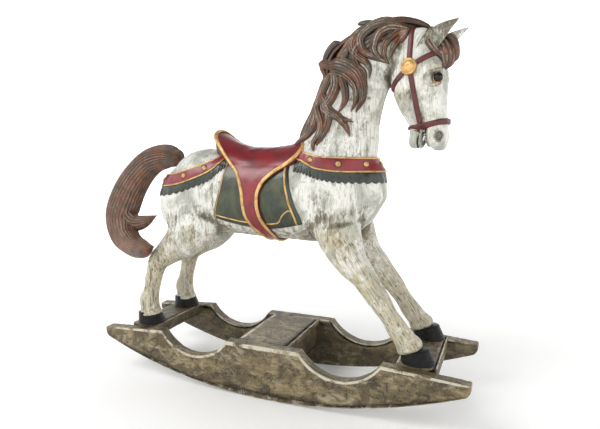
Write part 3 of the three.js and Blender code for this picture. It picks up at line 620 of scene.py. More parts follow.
# Pushes on the coat: [x, y, z, radius, push along the normal], in mm, with a bell-shaped falloff.
pushes = [
    [104, 30, 205, 7, -1.5], [112, 26, 208, 6, -1.6], [96, 36, 201, 6, -1.2], [136, 44, 143, 7, 1.0],
    [124, 20, 152, 8, -0.8], [140, 34, 118, 5, -0.8], [178, 30, 90, 5, 0.8], [-150, 26, 128, 6, -0.9],
    [-166, 48, 96, 5, 0.8], [-96, 46, 200, 16, 1.0], [-64, 40, 238, 20, -1.4], [-88, 34, 190, 12, -1.2],
    [74, 43, 232, 12, -1.3], [112, 34, 212, 14, 1.0], [128, 20, 226, 10, -1.6], [-120, 40, 232, 22, 1.2],
    [-128, 30, 186, 9, -1.0], [-142, 30, 168, 7, -1.2], [150, 27, 130, 6, 0.9], [-152, 46, 147, 6, 0.8],
    [60, 20, 184, 14, -0.8],
]
headPushes = [
    [201, 16, 362, 8.5, -3.0], [196, 17, 373, 6, 1.8], [205, 13.5, 303.5, 4.2, -2.2], [206, 16, 310, 5, 1.0],
    [176, 20, 345, 7, -1.1], [198, 15, 345, 9, -1.6], [190, 17, 356, 8, 0.9], [192, 14, 330, 6, 0.7],
    [187, 12, 311, 4, -1.2], [168, 18, 380, 6, -0.8],
]


# Adds each push times exp(-(distance / radius) squared) along the normals; only loops over the pushes.
def pushOut(points, normals, rows, place=lambda p: p):
    shift = np.zeros(len(points))
    for x, y, z, radius, amount in rows:
        for sign in (-1, 1):
            spot = place(np.array([x, sign * y, z]) * mm)
            far = ((points - spot) ** 2).sum(1) / (radius * mm) ** 2
            shift += amount * mm * np.exp(-far)
    return points + normals * shift[:, None]


# How hollow the surface is at each point: the way the neighbours' mean lies along the normal.
def hollowness(points, normals, edges, rounds, scale):
    return np.einsum("ij,ij->i", relax(points, edges, rounds) - points, normals) / scale


# A bell round (x, z), seen from the side: exp(-(distance / radius) squared), all in mm.
def bell(points, x, z, radius):
    return np.exp(-((points[:, 0] - x * mm) ** 2 + (points[:, 2] - z * mm) ** 2) / (radius * mm) ** 2)


# The skin evened out, most of all where parts meet, then pushed, knife marked, and given two values a point:
# hollowAndShade, how hollow it is, with painted shade in the crease over each front leg, and wearAndShade, more
# on the legs as wear, under the belly and at the elbows as painted shade, and at the chest, hocks and face.
def makeCoat():
    mesh = carveCoat()
    edges = edgesOf(mesh)
    points = relax(pointsOf(mesh), edges, coatShape["evening"], 0.5)
    soft = np.clip(sum(bell(points, *spot) for spot in coatShape["seams"]), 0, 1)
    points = relax(points, edges, coatShape["seamEvening"], 0.5 * soft)
    movePoints(mesh, points)
    points = pushOut(points, normalsOf(mesh), pushes)
    points = pushOut(points, normalsOf(mesh), headPushes, turnHead)
    movePoints(mesh, points)
    normals = normalsOf(mesh)
    # knife marks: shallow waves, longer down the limbs
    marks = waves(points * [1, 1, 0.35], 9 * mm, 3) * 0.16 + waves(points * [1, 1, 0.5], 4 * mm, 4) * 0.07
    points = points + normals * (marks * mm)[:, None]
    broad = hollowness(points, normals, edges, 60, 1.6 * mm)
    close = hollowness(points, normals, edges, 8, 0.35 * mm)
    hollowAndShade = np.clip(0.5 + 0.32 * broad + 0.22 * close, 0, 1)
    x, z = points[:, 0], points[:, 2]
    # painted shade: a dark band in the crease under the chest, over each front leg, added to hollowAndShade
    fold = np.exp(-((z - 207 * mm - 0.22 * (x - 100 * mm)) / (3.0 * mm)) ** 2) \
        * np.exp(-((x - 106 * mm) / (19 * mm)) ** 2)  # the crease over each front leg
    hollowAndShade = np.clip(hollowAndShade + 0.42 * fold, 0, 1)
    # wearAndShade: browner and darker on the lower legs as wear, painted shade under the belly and at the elbows
    # under the chest, and darker at the chest, the hocks and round the eyes, nostrils and cheeks
    low = np.clip((200 * mm - z) / (70 * mm), 0, 1) ** 0.8
    belly = np.exp(-((z - 192 * mm) / (14 * mm)) ** 2)
    chest, elbow, hock = bell(points, 136, 330, 40), bell(points, 92, 205, 26), bell(points, -146, 152, 22)
    ahead = turnHead(points, back=True)
    face = 0.45 * bell(ahead, 200, 366, 15) + 0.40 * bell(ahead, 190, 303, 14) + 0.30 * bell(ahead, 168, 345, 16)
    wearAndShade = 0.80 * low + 0.35 * belly + 0.30 * chest + 0.5 * elbow + 0.4 * hock + face + 0.08
    movePoints(mesh, points)
    markPoints(mesh, "hollowAndShade", hollowAndShade)
    markPoints(mesh, "wearAndShade", wearAndShade)
    mesh.polygons.foreach_set("use_smooth", np.ones(len(mesh.polygons), bool))
    mesh.name = "coat"
    return link(bpy.data.objects.new("coat", mesh))


coat = makeCoat()
legNodes = [f"{end}_leg_{side}" for end in ("front", "rear") for side in ("right", "left")]
finish(coat, paints["coat"], "coat_paint", "torso", "neck", "head", *legNodes)
print("coat carved:", len(coat.data.vertices), "points")


# The base: two runners, three boards between them and two rails under the platform.
base = {
    "middle": 14, "halfLength": 232, "outer": 65, "thick": 15, "rock": 600, "deck": 64, "tip": 58,
    "near": 47, "far": 141, "scoop": 25, "corner": 1.8, "worn": 0.55,
}


# Section of a bar: a rectangle with round corners, as (u, v) from -1 to 1 around it, how near each point is
# to a corner, which quarter it is in, and its angle round the corner, or -1 on a flat.
def roundedSection(side, turn=5):
    line = np.linspace(-1, 1, side + 2)[1:-1]
    c, s = np.array([[1], [0], [-1], [0]]), np.array([[0], [1], [0], [-1]])
    spread = lambda corner, flat: np.concatenate([corner + np.zeros((4, turn)), flat + 0 * c * line], 1).ravel()
    u, v = spread(c - s, c + s * line), spread(c + s, s - c * line)
    near = spread(1.0, np.abs(line) ** 6)
    quarter = np.repeat(np.arange(4), turn + side)
    return u, v, near, quarter, spread(np.linspace(0, np.pi / 2, turn), -1.0)


# A bar along one axis. limits gives its two limits across at each station: [u low, u high, v low, v high].
# Its corners are rounded by a quarter turn and its ends drawn in by the same radius.
def barGrid(stations, limits, corner, side):
    u, v, near, quarter, bend = roundedSection(side)
    halfU, halfV = (limits[:, 1] - limits[:, 0]) / 2, (limits[:, 3] - limits[:, 2]) / 2
    midU, midV = (limits[:, 1] + limits[:, 0]) / 2, (limits[:, 3] + limits[:, 2]) / 2
    toEnd = np.minimum(stations - stations[0], stations[-1] - stations)
    draw = corner * (1 - np.sqrt(np.clip(1 - (1 - np.clip(toEnd / corner, 0, 1)) ** 2, 0, 1)))
    even, onCorner = quarter % 2 == 0, bend >= 0
    inU = np.where(onCorner, 1 - np.where(even, np.cos(bend), np.sin(bend)), 0)
    inV = np.where(onCorner, 1 - np.where(even, np.sin(bend), np.cos(bend)), 0)
    gridU = midU[:, None] + u * (halfU - draw)[:, None] - np.sign(u) * inU * corner
    gridV = midV[:, None] + v * (halfV - draw)[:, None] - np.sign(v) * inV * corner
    edge = np.maximum(near[None], 1 - np.clip(toEnd / (2.2 * corner), 0, 1)[:, None])
    return gridU, gridV, edge


# Wear on the boards: three sizes of wave added together.
def unevenness(grid, seed, worn):
    return worn * (waves(grid, 34, seed) * 0.55 + waves(grid, 11, seed + 1) * 0.35
                   + waves(grid, 4.5, seed + 2) * 0.15)


# Underside of a runner: an arc of the rocking radius.
def rockHeight(x):
    return base["rock"] - np.sqrt(base["rock"] ** 2 - x ** 2)


# Top line of a runner: a scoop either side of the middle, and a gentle slope out to each tip.
def topHeight(x):
    half = (base["far"] - base["near"]) / 2
    radius = (half ** 2 + base["scoop"] ** 2) / (2 * base["scoop"])
    off = np.abs(np.abs(x) - (base["far"] + base["near"]) / 2)
    drop = np.sqrt(np.maximum(radius ** 2 - np.minimum(off, half) ** 2, 0)) - (radius - base["scoop"])
    slope = np.clip((np.abs(x) - base["far"]) / (base["halfLength"] - 3 - base["far"]), 0, 1)
    return base["deck"] - np.maximum(drop, 0) - slope * (base["deck"] - base["tip"])


# A runner: a bar along X between its arc and its top line, worn inwards on its top and both sides.
def makeRunner(name, sign, seed):
    halfLength = base["halfLength"]
    marks = [s * m for s in (-1, 1) for m in (base["near"], base["far"])]
    ends = [s * (halfLength - e) for s in (-1, 1) for e in (0, 0.25, 0.7, 1.2, 1.8, 3)]
    x = np.unique(np.concatenate([np.linspace(-halfLength, halfLength, 260), marks, ends]))
    rise = np.clip((np.abs(x) - (halfLength - 5)) / 5, 0, 1) * 5
    low = np.maximum(rockHeight(x) - 0.02, 0) + rise ** 1.6 * 0.38
    low[np.abs(x) < 9] = 0
    inner, outer = base["outer"] - base["thick"], base["outer"]
    flat = np.ones_like(x)
    limits = np.stack([inner * flat, outer * flat, low, topHeight(x)], 1)
    y, z, edge = barGrid(x, limits, base["corner"], 8)
    grid = np.stack([x[:, None] + base["middle"] + 0 * y, y * sign, z], -1)
    bump = unevenness(grid, seed, base["worn"])
    grid[..., 2] += np.where(np.abs(z - topHeight(x)[:, None]) < 2.5, -np.abs(bump), 0)
    sideways = np.where(np.abs(y - outer) < 2.5, -1, np.where(y < inner + 2.5, 1, 0))
    grid[..., 1] += sideways * np.abs(bump) * sign
    upper = np.clip((z - limits[:, 2:3]) / (limits[:, 3:] - limits[:, 2:3]), 0, 1)
    # the upper edges take the full rubbed cream and painted highlight, the lower ones about half
    edge = edge * np.where(upper > 0.5, 1.0, 0.55) * (0.75 + 0.4 * waves(grid, 16, seed + 5))
    # painted shade on the runner's inner face, darker towards its bottom
    paintedShade = np.where(y < inner + 1.5, 0.55, 0.0) * np.clip(1.2 - upper, 0.2, 1) + 0 * edge
    piece = tubesPiece(name, [(grid * mm, {"edge": edge, "paintedShade": paintedShade})])
    return finish(piece, paints["base"], "base_wood", name)


# A board: a bar across from runner to runner, worn inwards on its long faces.
def makeBoard(name, box, seed, dark):
    x0, x1, z0, z1 = box
    stop = base["outer"] - base["thick"] + 0.7  # just inside the runners' faces
    ends = [s * (stop - e) for s in (-1, 1) for e in (0.3, 0.8, 1.5)]
    y = np.unique(np.concatenate([np.linspace(-stop, stop, 90), ends]))
    limits = np.array(box) + 0 * y[:, None]
    x, z, edge = barGrid(y, limits, 1.3, 12)
    edge = np.broadcast_to(edge, x.shape) * (np.abs(y)[:, None] < stop - 2.6) + 0 * x
    grid = np.stack([x, y[:, None] + 0 * x, z], -1)
    bump = np.abs(unevenness(grid, seed, base["worn"] * 0.8))
    grid[..., 0] += np.where(x > x1 - 1.8, -bump, np.where(x < x0 + 1.8, bump, 0))
    grid[..., 2] += np.where(z > z1 - 1.8, -bump, np.where(z < z0 + 1.8, bump, 0))
    upper = np.clip((z - z0) / (z1 - z0), 0, 1)
    # the upper edges take the full rubbed cream and painted highlight, the lower ones about a third
    edge = edge * np.where(upper > 0.5, 1.0, 0.35) * (0.75 + 0.4 * waves(grid, 16, seed + 5))
    # painted shade: each board's own amount, darker towards its bottom
    piece = tubesPiece(name, [(grid * mm, {"edge": edge, "paintedShade": dark + 0.3 * (1 - upper)})])
    return finish(piece, paints["base"], "base_wood", name)


# the darkness is painted shade: most on the rails under the platform, then the rear board
boards = {  # limits in X and Z, seed of the wear, darkness
    "rear_cross_board": ((-184, -145, 49, 64), 13, 0.35), "front_cross_board": ((168, 211, 49, 64), 14, 0.1),
    "centre_platform": ((-23, 44, 58, 64), 15, 0.0), "centre_front_rail": ((29, 41, 28, 57.6), 16, 0.45),
    "centre_rear_rail": ((-20, -8, 28, 57.6), 17, 0.45),
}
makeRunner("runner_right", -1, 11)
makeRunner("runner_left", 1, 12)
for name, spec in boards.items():
    makeBoard(name, *spec)
print("base made")


# Hooves: an oval drawn in towards the coronet, longer at the toe, with growth rings and a worn sole.
hoofShape = {"x": {"front": 190, "rear": -161}, "toe": {"front": 16, "rear": 17},
             "heel": {"front": 11, "rear": 13}, "y": 39.5, "halfLength": 18.5, "halfWidth": 16, "sole": 64.3}


# Each ring is an oval times its draw and its growth wave; its height leans from heel to toe with cos(angle).
def makeHoof(end, side, sign):
    toe, heel = hoofShape["toe"][end], hoofShape["heel"][end]
    up = np.concatenate([[0, 0, 0, 0.015, 0.04], np.linspace(0.08, 0.90, 40),
                         [0.93, 0.955, 0.975, 0.99, 1, 1, 1]])[:, None]
    draw = np.concatenate([[0.25, 0.7, 0.95, 0.985, 1], np.ones(40),
                           [1.012, 1.0, 0.975, 0.94, 0.88, 0.6, 0.2]])[:, None]
    a = np.linspace(0, 2 * np.pi, 96, endpoint=False)[None]
    c, s = np.cos(a), np.sin(a)
    taper = (1 - 0.2 * up) * draw
    ring = 1 + 0.008 * np.sin(up * 30 + 0.6 * np.cos(a)) + 0.006 * waves(
        np.stack([c + 0 * up, s + 0 * up, up + 0 * a], -1), 0.7, sign + toe)
    height = (toe + heel) / 2 + (toe - heel) / 2 * c
    x = hoofShape["x"][end] - 4 * up + c * hoofShape["halfLength"] * taper * ring
    y = sign * hoofShape["y"] + s * hoofShape["halfWidth"] * taper * ring
    grid = np.stack([x, y, hoofShape["sole"] + up * (height + 0.6)], -1)
    name = f"{end}_hoof_{side}"
    return finish(tubesPiece(name, [(grid * mm, {})]), paints["hoof"], "hoof_black", name)


sides = (("right", -1), ("left", 1))
for end in ("front", "rear"):
    for side, sign in sides:
        makeHoof(end, side, sign)
        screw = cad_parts[f"{end}_hoof_screw_{side}"].data.materials
        screw.clear()
        screw.append(paints["steel"])
print("hooves made")


# Tack is laid out on the plain ovals of the torso or head, then settled onto the carved coat.
torsoPath = smoothPath(torsoRows, 400)
headPath = smoothPath(headRows, 400)


# How far out a point lies, 1 being on the oval whose size is read along the torso in X, or the head in Z.
def outOfTorso(p):
    x, y, z = p[..., 0], p[..., 1], p[..., 2]
    read = lambda c: np.interp(x, torsoPath[:, 0], torsoPath[:, c])
    past = np.maximum(np.abs(x + 4.5) - 147.4, 0) * 10  # beyond either end
    return (y / np.maximum(read(4), 1)) ** 2 + ((z - read(2)) / np.maximum(read(3), 1)) ** 2 + past


def outOfHead(p):
    x, y, z = p[..., 0], p[..., 1], p[..., 2]
    order = np.argsort(headPath[:, 2])
    read = lambda c: np.interp(z, headPath[order, 2], headPath[order, c])
    return (y / np.maximum(read(4), 1)) ** 2 + ((x - read(0)) / np.maximum(read(3), 1)) ** 2


# Distance along each ray to where it leaves the oval: halve the step 24 times.
def castOut(origin, way, outOf, reach=120):
    low, high = np.zeros(origin.shape[:-1]), np.full(origin.shape[:-1], float(reach))
    for _ in range(24):
        half = (low + high) / 2
        inside = outOf(origin + way * half[..., None]) < 1
        low, high = np.where(inside, half, low), np.where(inside, high, half)
    return origin + way * low[..., None]


# Settles a grid on the coat, evening it out along its own lines without moving its border.
def settle(grid):
    for _ in range(3):
        grid = layOn(grid, coat, 0)
        inner = (grid[2:, 1:-1] + grid[:-2, 1:-1] + grid[1:-1, 2:] + grid[1:-1, :-2]) / 4
        grid[1:-1, 1:-1] += 0.5 * (inner - grid[1:-1, 1:-1])
    return layOn(grid, coat, 0)


# Rows of a half-round bead along a line on the coat.
def beadGrid(line, outward, width, height, lift=0.0, around=12, closed=False):
    along = np.roll(line, -1, 0) - np.roll(line, 1, 0) if closed else np.gradient(line, axis=0)
    across = unit(np.cross(along, outward))
    outward = unit(np.cross(across, along))
    a = np.linspace(0, 2 * np.pi, around, endpoint=False)
    s = np.where(np.sin(a) > 0, np.sin(a) * height, np.sin(a) * 0.5)
    size = np.ones(len(line))
    if not closed:
        end = np.minimum(np.arange(len(line)), np.arange(len(line))[::-1])
        size = np.sqrt(np.clip(1 - (1 - np.clip(end / 2.5, 0, 1)) ** 2, 0.02, 1))
    wide = np.cos(a) * width / 2
    ring = across[:, None] * wide[:, None] + outward[:, None] * s[:, None]
    return (line + outward * lift * mm)[:, None] + ring * (mm * size)[:, None, None]


# Blanket, saddle and girth, each read round the torso by its angle from the top.
tack = {
    "blanket": [[0, -44, 38], [50, -46, 39], [75, -49, 43], [100, -55.5, 49], [118, -60.5, 55], [128, -61.5, 57]],
    "saddle": [[0, -73, 50], [16, -70, 53], [25, -60, 54], [36, -47, 48], [53, -29, 26], [68, -22.6, 11.5],
               [85, -18.4, 5.6], [102, -17.6, 4.8], [119, -16, 7.3], [136, -10, 13], [150, -2, 17], [180, 0, 18]],
    "blanketLow": 128, "hemDrop": 12, "cantle": 19, "pommel": 8, "rim": 4.2, "rearRim": 6.6, "under": 1.2,
    "middle": 236, "hem": ([24, 28, 36, 45, 52, 57], [1, 2, 9, 13, 11, 5]),
}


# Reads a table by angle, as the mean of eleven readings over ten degrees, so that its corners are round.
def smoothTable(table, key):
    rows = np.array(table, float)
    wide = np.abs(key)[:, None] + np.linspace(-5, 5, 11)
    wide = np.where(wide > 180, 360 - wide, np.abs(wide))
    return [np.interp(wide, rows[:, 0], rows[:, c]).mean(1) for c in range(1, rows.shape[1])]


# Points round the torso at x and an angle from the top, with the direction out to each.
def roundTorso(x, degrees):
    a = np.radians(degrees)
    origin = np.stack([x, 0 * x, 0 * x + tack["middle"]], -1)
    way = np.stack([0 * x, np.sin(a) + 0 * x, np.cos(a) + 0 * x], -1)
    return castOut(origin, way, outOfTorso) * mm, way


# The blanket: a padded plate, thin at its edges, with two lines of piping and a scalloped hem line.
def makeBlanket():
    row = np.linspace(-tack["blanketLow"], tack["blanketLow"], 190)
    rear, front = smoothTable(tack["blanket"], row)
    s = np.linspace(0, 1, 56)[None]
    x = rear[:, None] + (front - rear)[:, None] * s
    drop = np.sin(np.pi * s) * (np.abs(row[:, None]) / 128) ** 3
    grid, _ = roundTorso(x, row[:, None] * (1 + tack["hemDrop"] / tack["blanketLow"] * drop))
    side = np.clip((np.abs(row) - 42) / 25, 0, 1)[:, None, None]
    grid = grid + side * (settle(grid) - grid)
    outward = gridNormals(grid, np.array([0, 0, tack["middle"] * mm]))
    edge = 1 - np.minimum(np.minimum(s, 1 - s) * 14, 1) + 0 * x
    low = np.clip((np.abs(row) - 119) / 9, 0, 1)[:, None]
    puff = 1.0 - 0.75 * np.maximum(edge, low) ** 3
    dents = waves(grid / mm, 12, 41) * 0.22 + waves(grid / mm, 26, 42) * 0.3
    outer = grid + outward * ((0.9 + 1.15 * puff + dents * puff) * mm)[..., None]
    piece = platePiece("blanket", outer, grid - outward * 0.5 * mm, {"edge": np.maximum(edge * 0.8, low)})
    finish(piece, paints["green"], "green_paint", "saddle_blanket")
    beads = [(beadGrid(outer[:, j], outward[:, j], wide, 0.8, -0.1), {}) for j, wide in ((1, 1.2), (52, 2.4))]
    # the hem: a thin line behind the girth, a scallop in front of it
    column = np.arange(1, 53)
    at = 4 + np.interp(outer[4, column, 0] / mm, *tack["hem"]) / 1.1
    step = at.astype(int)
    part = (at - step)[:, None]
    for flip in (1, -1):
        line, way = [g[::flip][step, column] * (1 - part) + g[::flip][step + 1, column] * part
                     for g in (outer, outward)]
        beads.append((beadGrid(line, unit(way), 1.7, 0.8, -0.1), {}))
    finish(tubesPiece("blanketPiping", beads), paints["gold"], "gold_paint")


# Reads each row of a grid at its own share of the way along, between its two nearest points.
def readAcross(grid, share):
    at = share * (grid.shape[1] - 1)
    step = np.minimum(at.astype(int), grid.shape[1] - 2)
    row, part = np.arange(len(grid)), (at - step)[:, None]
    return grid[row, step] * (1 - part) + grid[row, step + 1] * part


# Saddle and girth: one plate right round the torso, lifted behind for the cantle by (1 - s / 0.42) to the
# power 1.6, and ahead for the pommel by ((s - 0.6) / 0.4) squared, with a gold rim along both edges.
def makeSaddle():
    angle = np.linspace(-180, 180, 361)[:-1]
    rear, front = smoothTable(tack["saddle"], angle)
    s = np.linspace(0, 1, 66)[None]
    x = rear[:, None] + (front - rear)[:, None] * s
    grid, way = roundTorso(x, angle[:, None])
    side = np.clip((np.abs(angle) - 42) / 25, 0, 1)[:, None, None]
    grid = grid + side * (layOn(grid, coat, 0) - grid)  # the top stays level where the neck comes through
    crown = (np.maximum(0, np.cos(np.radians(90 * angle / 46))) * (np.abs(angle) < 46))[:, None]
    rise = tack["cantle"] * np.maximum(0, 1 - s / 0.42) ** 1.6 \
        + tack["pommel"] * np.maximum(0, (s - 0.6) / 0.4) ** 2
    toEdge = np.minimum(s, 1 - s) * (front - rear)[:, None]
    edge = np.clip(1 - toEdge / 2.2, 0, 1)
    dents = waves(grid / mm, 18, 51) * 0.25
    under = 1 - 0.5 * np.clip((np.abs(angle) - 115) / 35, 0, 1)[:, None]  # the girth thins out below
    lift = under * (2.9 + 2.7 * np.sqrt(np.clip(1 - edge ** 2, 0, 1))) + crown * (rise + 1.6) + dents
    outer = grid + way * (lift * mm)[..., None]
    piece = platePiece("saddle", outer, grid + way * tack["under"] * mm,
                       {"edge": np.clip(1 - toEdge / 9, 0, 1)}, closedRings=True)
    finish(piece, paints["red"], "red_paint", "saddle", "girth")
    outward = gridNormals(outer, np.array([0, 0, tack["middle"] * mm]), closedRings=True)
    inset = np.clip(tack["rim"] / 2 / (front - rear), 0, 0.3)
    broad = 1 + (tack["rearRim"] / tack["rim"] - 1) * np.clip(1 - np.abs(angle) / 30, 0, 1)
    loops = []
    for share, size in ((inset, broad), (1 - inset, 1 + 0 * broad)):
        line = readAcross(outer, share)
        bead = beadGrid(line, unit(readAcross(outward, share)), tack["rim"], 1.15, -0.15, 14, closed=True)
        loops.append(line[:, None] + (bead - line[:, None]) * size[:, None, None])
    finish(loopPiece("saddleRims", loops), paints["gold"], "gold_paint")


makeBlanket()
makeSaddle()
print("saddle and blanket made")


# Breast and rear bands: [turn, top, bottom, fringe] heights by the turn from dead ahead or dead astern.
bands = {
    "breast": {"x": 57, "ahead": 1, "reach": 110, "studs": (0, 17, 37, 71), "edges": [
        [0, 281, 263, 252], [45, 282, 265, 253], [68, 285, 268.5, 257], [90, 290, 276, 263],
        [112, 291, 279, 265]]},
    "rear": {"x": -54, "ahead": -1, "reach": 110, "studs": (17, 41, 61), "edges": [
        [0, 258, 242.5, 231], [18, 259, 243, 231.5], [34, 263, 246.5, 236], [54, 273, 256, 245],
        [76, 281, 266, 254], [90, 285.5, 275, 263], [112, 291, 284, 272]]},
}


# Two unit directions square to an outward one and to each other.
def squareTo(outward):
    seed = np.array([0, 0, 1.0]) if abs(outward[2]) < 0.9 else np.array([1.0, 0, 0])
    a = unit(np.cross(outward, seed))
    return a, np.cross(outward, a)


# A turned piece: a profile of [radius, height] spun about the outward axis.
def turnedGrid(place, outward, profile, around=40):
    a, b = squareTo(outward)
    shape = np.array(profile, float)[:, :, None, None] * mm
    t = np.linspace(0, 2 * np.pi, around, endpoint=False)[None, :, None]
    return place + (a * np.cos(t) + b * np.sin(t)) * shape[:, 0] + outward * shape[:, 1]


# A dome, radius times cos t and height times sin t, on a short foot.
def domeGrid(place, outward, radius, height, rings=9, foot=0.8):
    t = np.linspace(0, np.pi / 2, rings)
    curve = list(zip(np.cos(t) * radius, np.sin(t) * height))
    return turnedGrid(place, outward, [(0.5 * radius, -foot), (radius, -foot)] + curve, 24)


# A band round the breast or the rear: a plate, two gold lines, a pleated fringe and a row of studs.
def makeBand(name, spec):
    count = 240
    turn = np.linspace(-spec["reach"], spec["reach"], count)
    wide = np.abs(turn)[:, None] + np.linspace(-6, 6, 9)
    rows = np.array(spec["edges"], float)
    top, bottom, fringe = [np.interp(np.abs(wide), rows[:, 0], rows[:, c]).mean(1) for c in (1, 2, 3)]
    a = np.radians(turn)

    def grid(upper, lower, across):
        t = np.linspace(0, 1, across)[None]
        z = lower[:, None] + (upper - lower)[:, None] * t
        origin = np.stack([0 * z + spec["x"], 0 * z, z], -1)
        way = np.stack([np.cos(a)[:, None] + 0 * z, np.sin(a)[:, None] + 0 * z, 0 * z], -1) * spec["ahead"]
        laid = castOut(origin, way, outOfTorso) * mm
        for _ in range(7):  # slide it level onto the coat, so that its height stays as laid out
            laid = layOn(laid, coat, 0)
            laid[1:-1, :, :2] = 0.5 * laid[1:-1, :, :2] + 0.25 * (laid[2:, :, :2] + laid[:-2, :, :2])
            laid[..., 2] = z * mm
        laid = layOn(laid, coat, 0)
        return laid, gridNormals(laid, np.array([spec["x"] * mm * 0.6, 0, 0.245])), t

    laid, outward, t = grid(top, bottom, 16)
    crown = 1 - np.abs(2 * t - 1) ** 6
    outer = laid + outward * ((1.3 + 1.5 * np.sqrt(crown) + 0.12 * waves(laid / mm, 10, 61)) * mm)[..., None]
    edge = np.abs(2 * t - 1) ** 3 + 0 * outer[..., 0]
    piece = platePiece(name + "Band", outer, laid - outward * 0.6 * mm, {"edge": edge})
    finish(piece, paints["red"], "red_paint", f"{name}_band")
    beads = [(beadGrid(outer[:, j], outward[:, j], 1.9, 0.85, -0.2), {}) for j in (1, 14)]
    finish(tubesPiece(name + "BandLines", beads), paints["gold"], "gold_paint")
    # fringe: pleats under the band, with a row of small round teeth along the hem
    teeth = np.abs(np.sin(np.linspace(0, np.pi * 37, count))) ** 0.8
    hem, under, t = grid(bottom + 0.6, fringe + 2.4 * (1 - teeth), 14)
    fold = (0.55 * teeth[:, None] - 0.3) * (1 - t) ** 0.7 + 0.25 * waves(hem / mm, 9, 62)
    pleats = hem + under * ((1.15 + 0.5 * t + fold - 0.5 * (1 - t) ** 6) * mm)[..., None]
    piece = platePiece(name + "Fringe", pleats, hem - under * 0.6 * mm, {"edge": (1 - t) ** 3 + 0 * fold})
    finish(piece, paints["fringe"], "green_paint", f"{name}_fringe")
    studs, rings = [], []
    for turnAt in sorted({s * k for k in spec["studs"] for s in (-1, 1)}):
        i = int(round((turnAt / spec["reach"] + 1) / 2 * (count - 1)))
        place, way = outer[i, 8], unit(outward[i, 8])
        studs.append((domeGrid(place, way, 3.0, 1.9), {}))
        rings.append((domeGrid(place, way, 3.9, 0.55, 4), {}))
    finish(tubesPiece(name + "Studs", studs), paints["gold"], "gold_paint",
           *[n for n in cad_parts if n.startswith(f"{name}_stud")])
    finish(tubesPiece(name + "StudRings", rings), paints["mouth"], "bridle_paint")


for name, spec in bands.items():
    makeBand(name, spec)
print("bands made")


# Head fittings, laid out before the head turns.
faceLook = {
    "eye": (202, 362.5), "eyeRadius": 5.0, "eyeOut": 12.2, "boss": (174, 374.5), "bossRadius": 8.7,
    "strapWidth": 5.8, "strapThick": 1.7, "nostril": (204.5, 12.8, 303.5),
    "bossProfile": [(0.4, -0.8), (1, -0.8), (1, 2.4), (0.98, 2.9), (0.92, 3.25), (0.86, 3.1), (0.82, 2.5),
                    (0.77, 2.5), (0.72, 3.0), (0.62, 3.8), (0.47, 4.5), (0.34, 4.8), (0.28, 4.85), (0.24, 4.6),
                    (0.20, 4.9), (0.10, 5.3), (0.01, 5.4)],
    # dark linings of the jaw, the upper lip and the back of the mouth: [egg, lean]
    "linings": [([180.6, 0, 300.5, 2.6, 9.9, 9.8], 0.16), ([192.6, 0, 301, 2.2, 10.6, 9.8], -0.22),
                ([187, 0, 312, 5.5, 10.5, 2.6], 0)],
}


# The coat's own outward direction under each point.
def coatNormal(points, target=None):
    return unit(layOn(points, target or coat, 4 * mm) - layOn(points, target or coat, 0))


# Outer and inner faces of a strap: its crown rises by the square root of 1 - t to the power 5 across it.
def strapSides(laid, outward):
    t = np.linspace(-1, 1, laid.shape[1])[None]
    crown = np.sqrt(np.clip(1 - np.abs(t) ** 5, 0, 1))
    rise = 0.5 + faceLook["strapThick"] * crown + 0.1 * waves(laid / mm, 7, 71)
    return laid + outward * (rise * mm)[..., None], laid - outward * 0.6 * mm


# A strap round the head: the plane through (x, z) leans by an angle, and the strap turns in it.
def strapRound(x, z, lean, start, stop, count=110, across=9, closed=False):
    turn = np.radians(np.linspace(start, stop, count, endpoint=not closed))[:, None]
    t = np.linspace(-0.5, 0.5, across)[None] * faceLook["strapWidth"]
    lx, lz = math.cos(math.radians(lean)), math.sin(math.radians(lean))
    origin = np.stack([x - lz * t + 0 * turn, 0 * t + 0 * turn, z + lx * t + 0 * turn], -1)
    way = np.stack([np.sin(turn) * lx + 0 * t, np.cos(turn) + 0 * t, np.sin(turn) * lz + 0 * t], -1)
    return turnHead(castOut(origin, way, outOfHead, 60) * mm)


# A strap down one side of the head, straight from start to stop when seen from that side.
def strapDown(start, stop, sign, count=50, across=9, least=13):
    s = np.linspace(0, 1, count)[:, None]
    t = np.linspace(-0.5, 0.5, across)[None] * faceLook["strapWidth"]
    dx, dz = stop[0] - start[0], stop[1] - start[1]
    length = math.hypot(dx, dz)
    x, z = start[0] + dx * s + t * dz / length, start[1] + dz * s - t * dx / length
    origin = np.stack([x, 0 * x, z], -1)
    hit = castOut(origin, np.array([0, sign, 0]) + 0 * origin, outOfHead, 60)
    hit[..., 1] = sign * np.maximum(np.abs(hit[..., 1]), least)
    return turnHead(hit * mm)


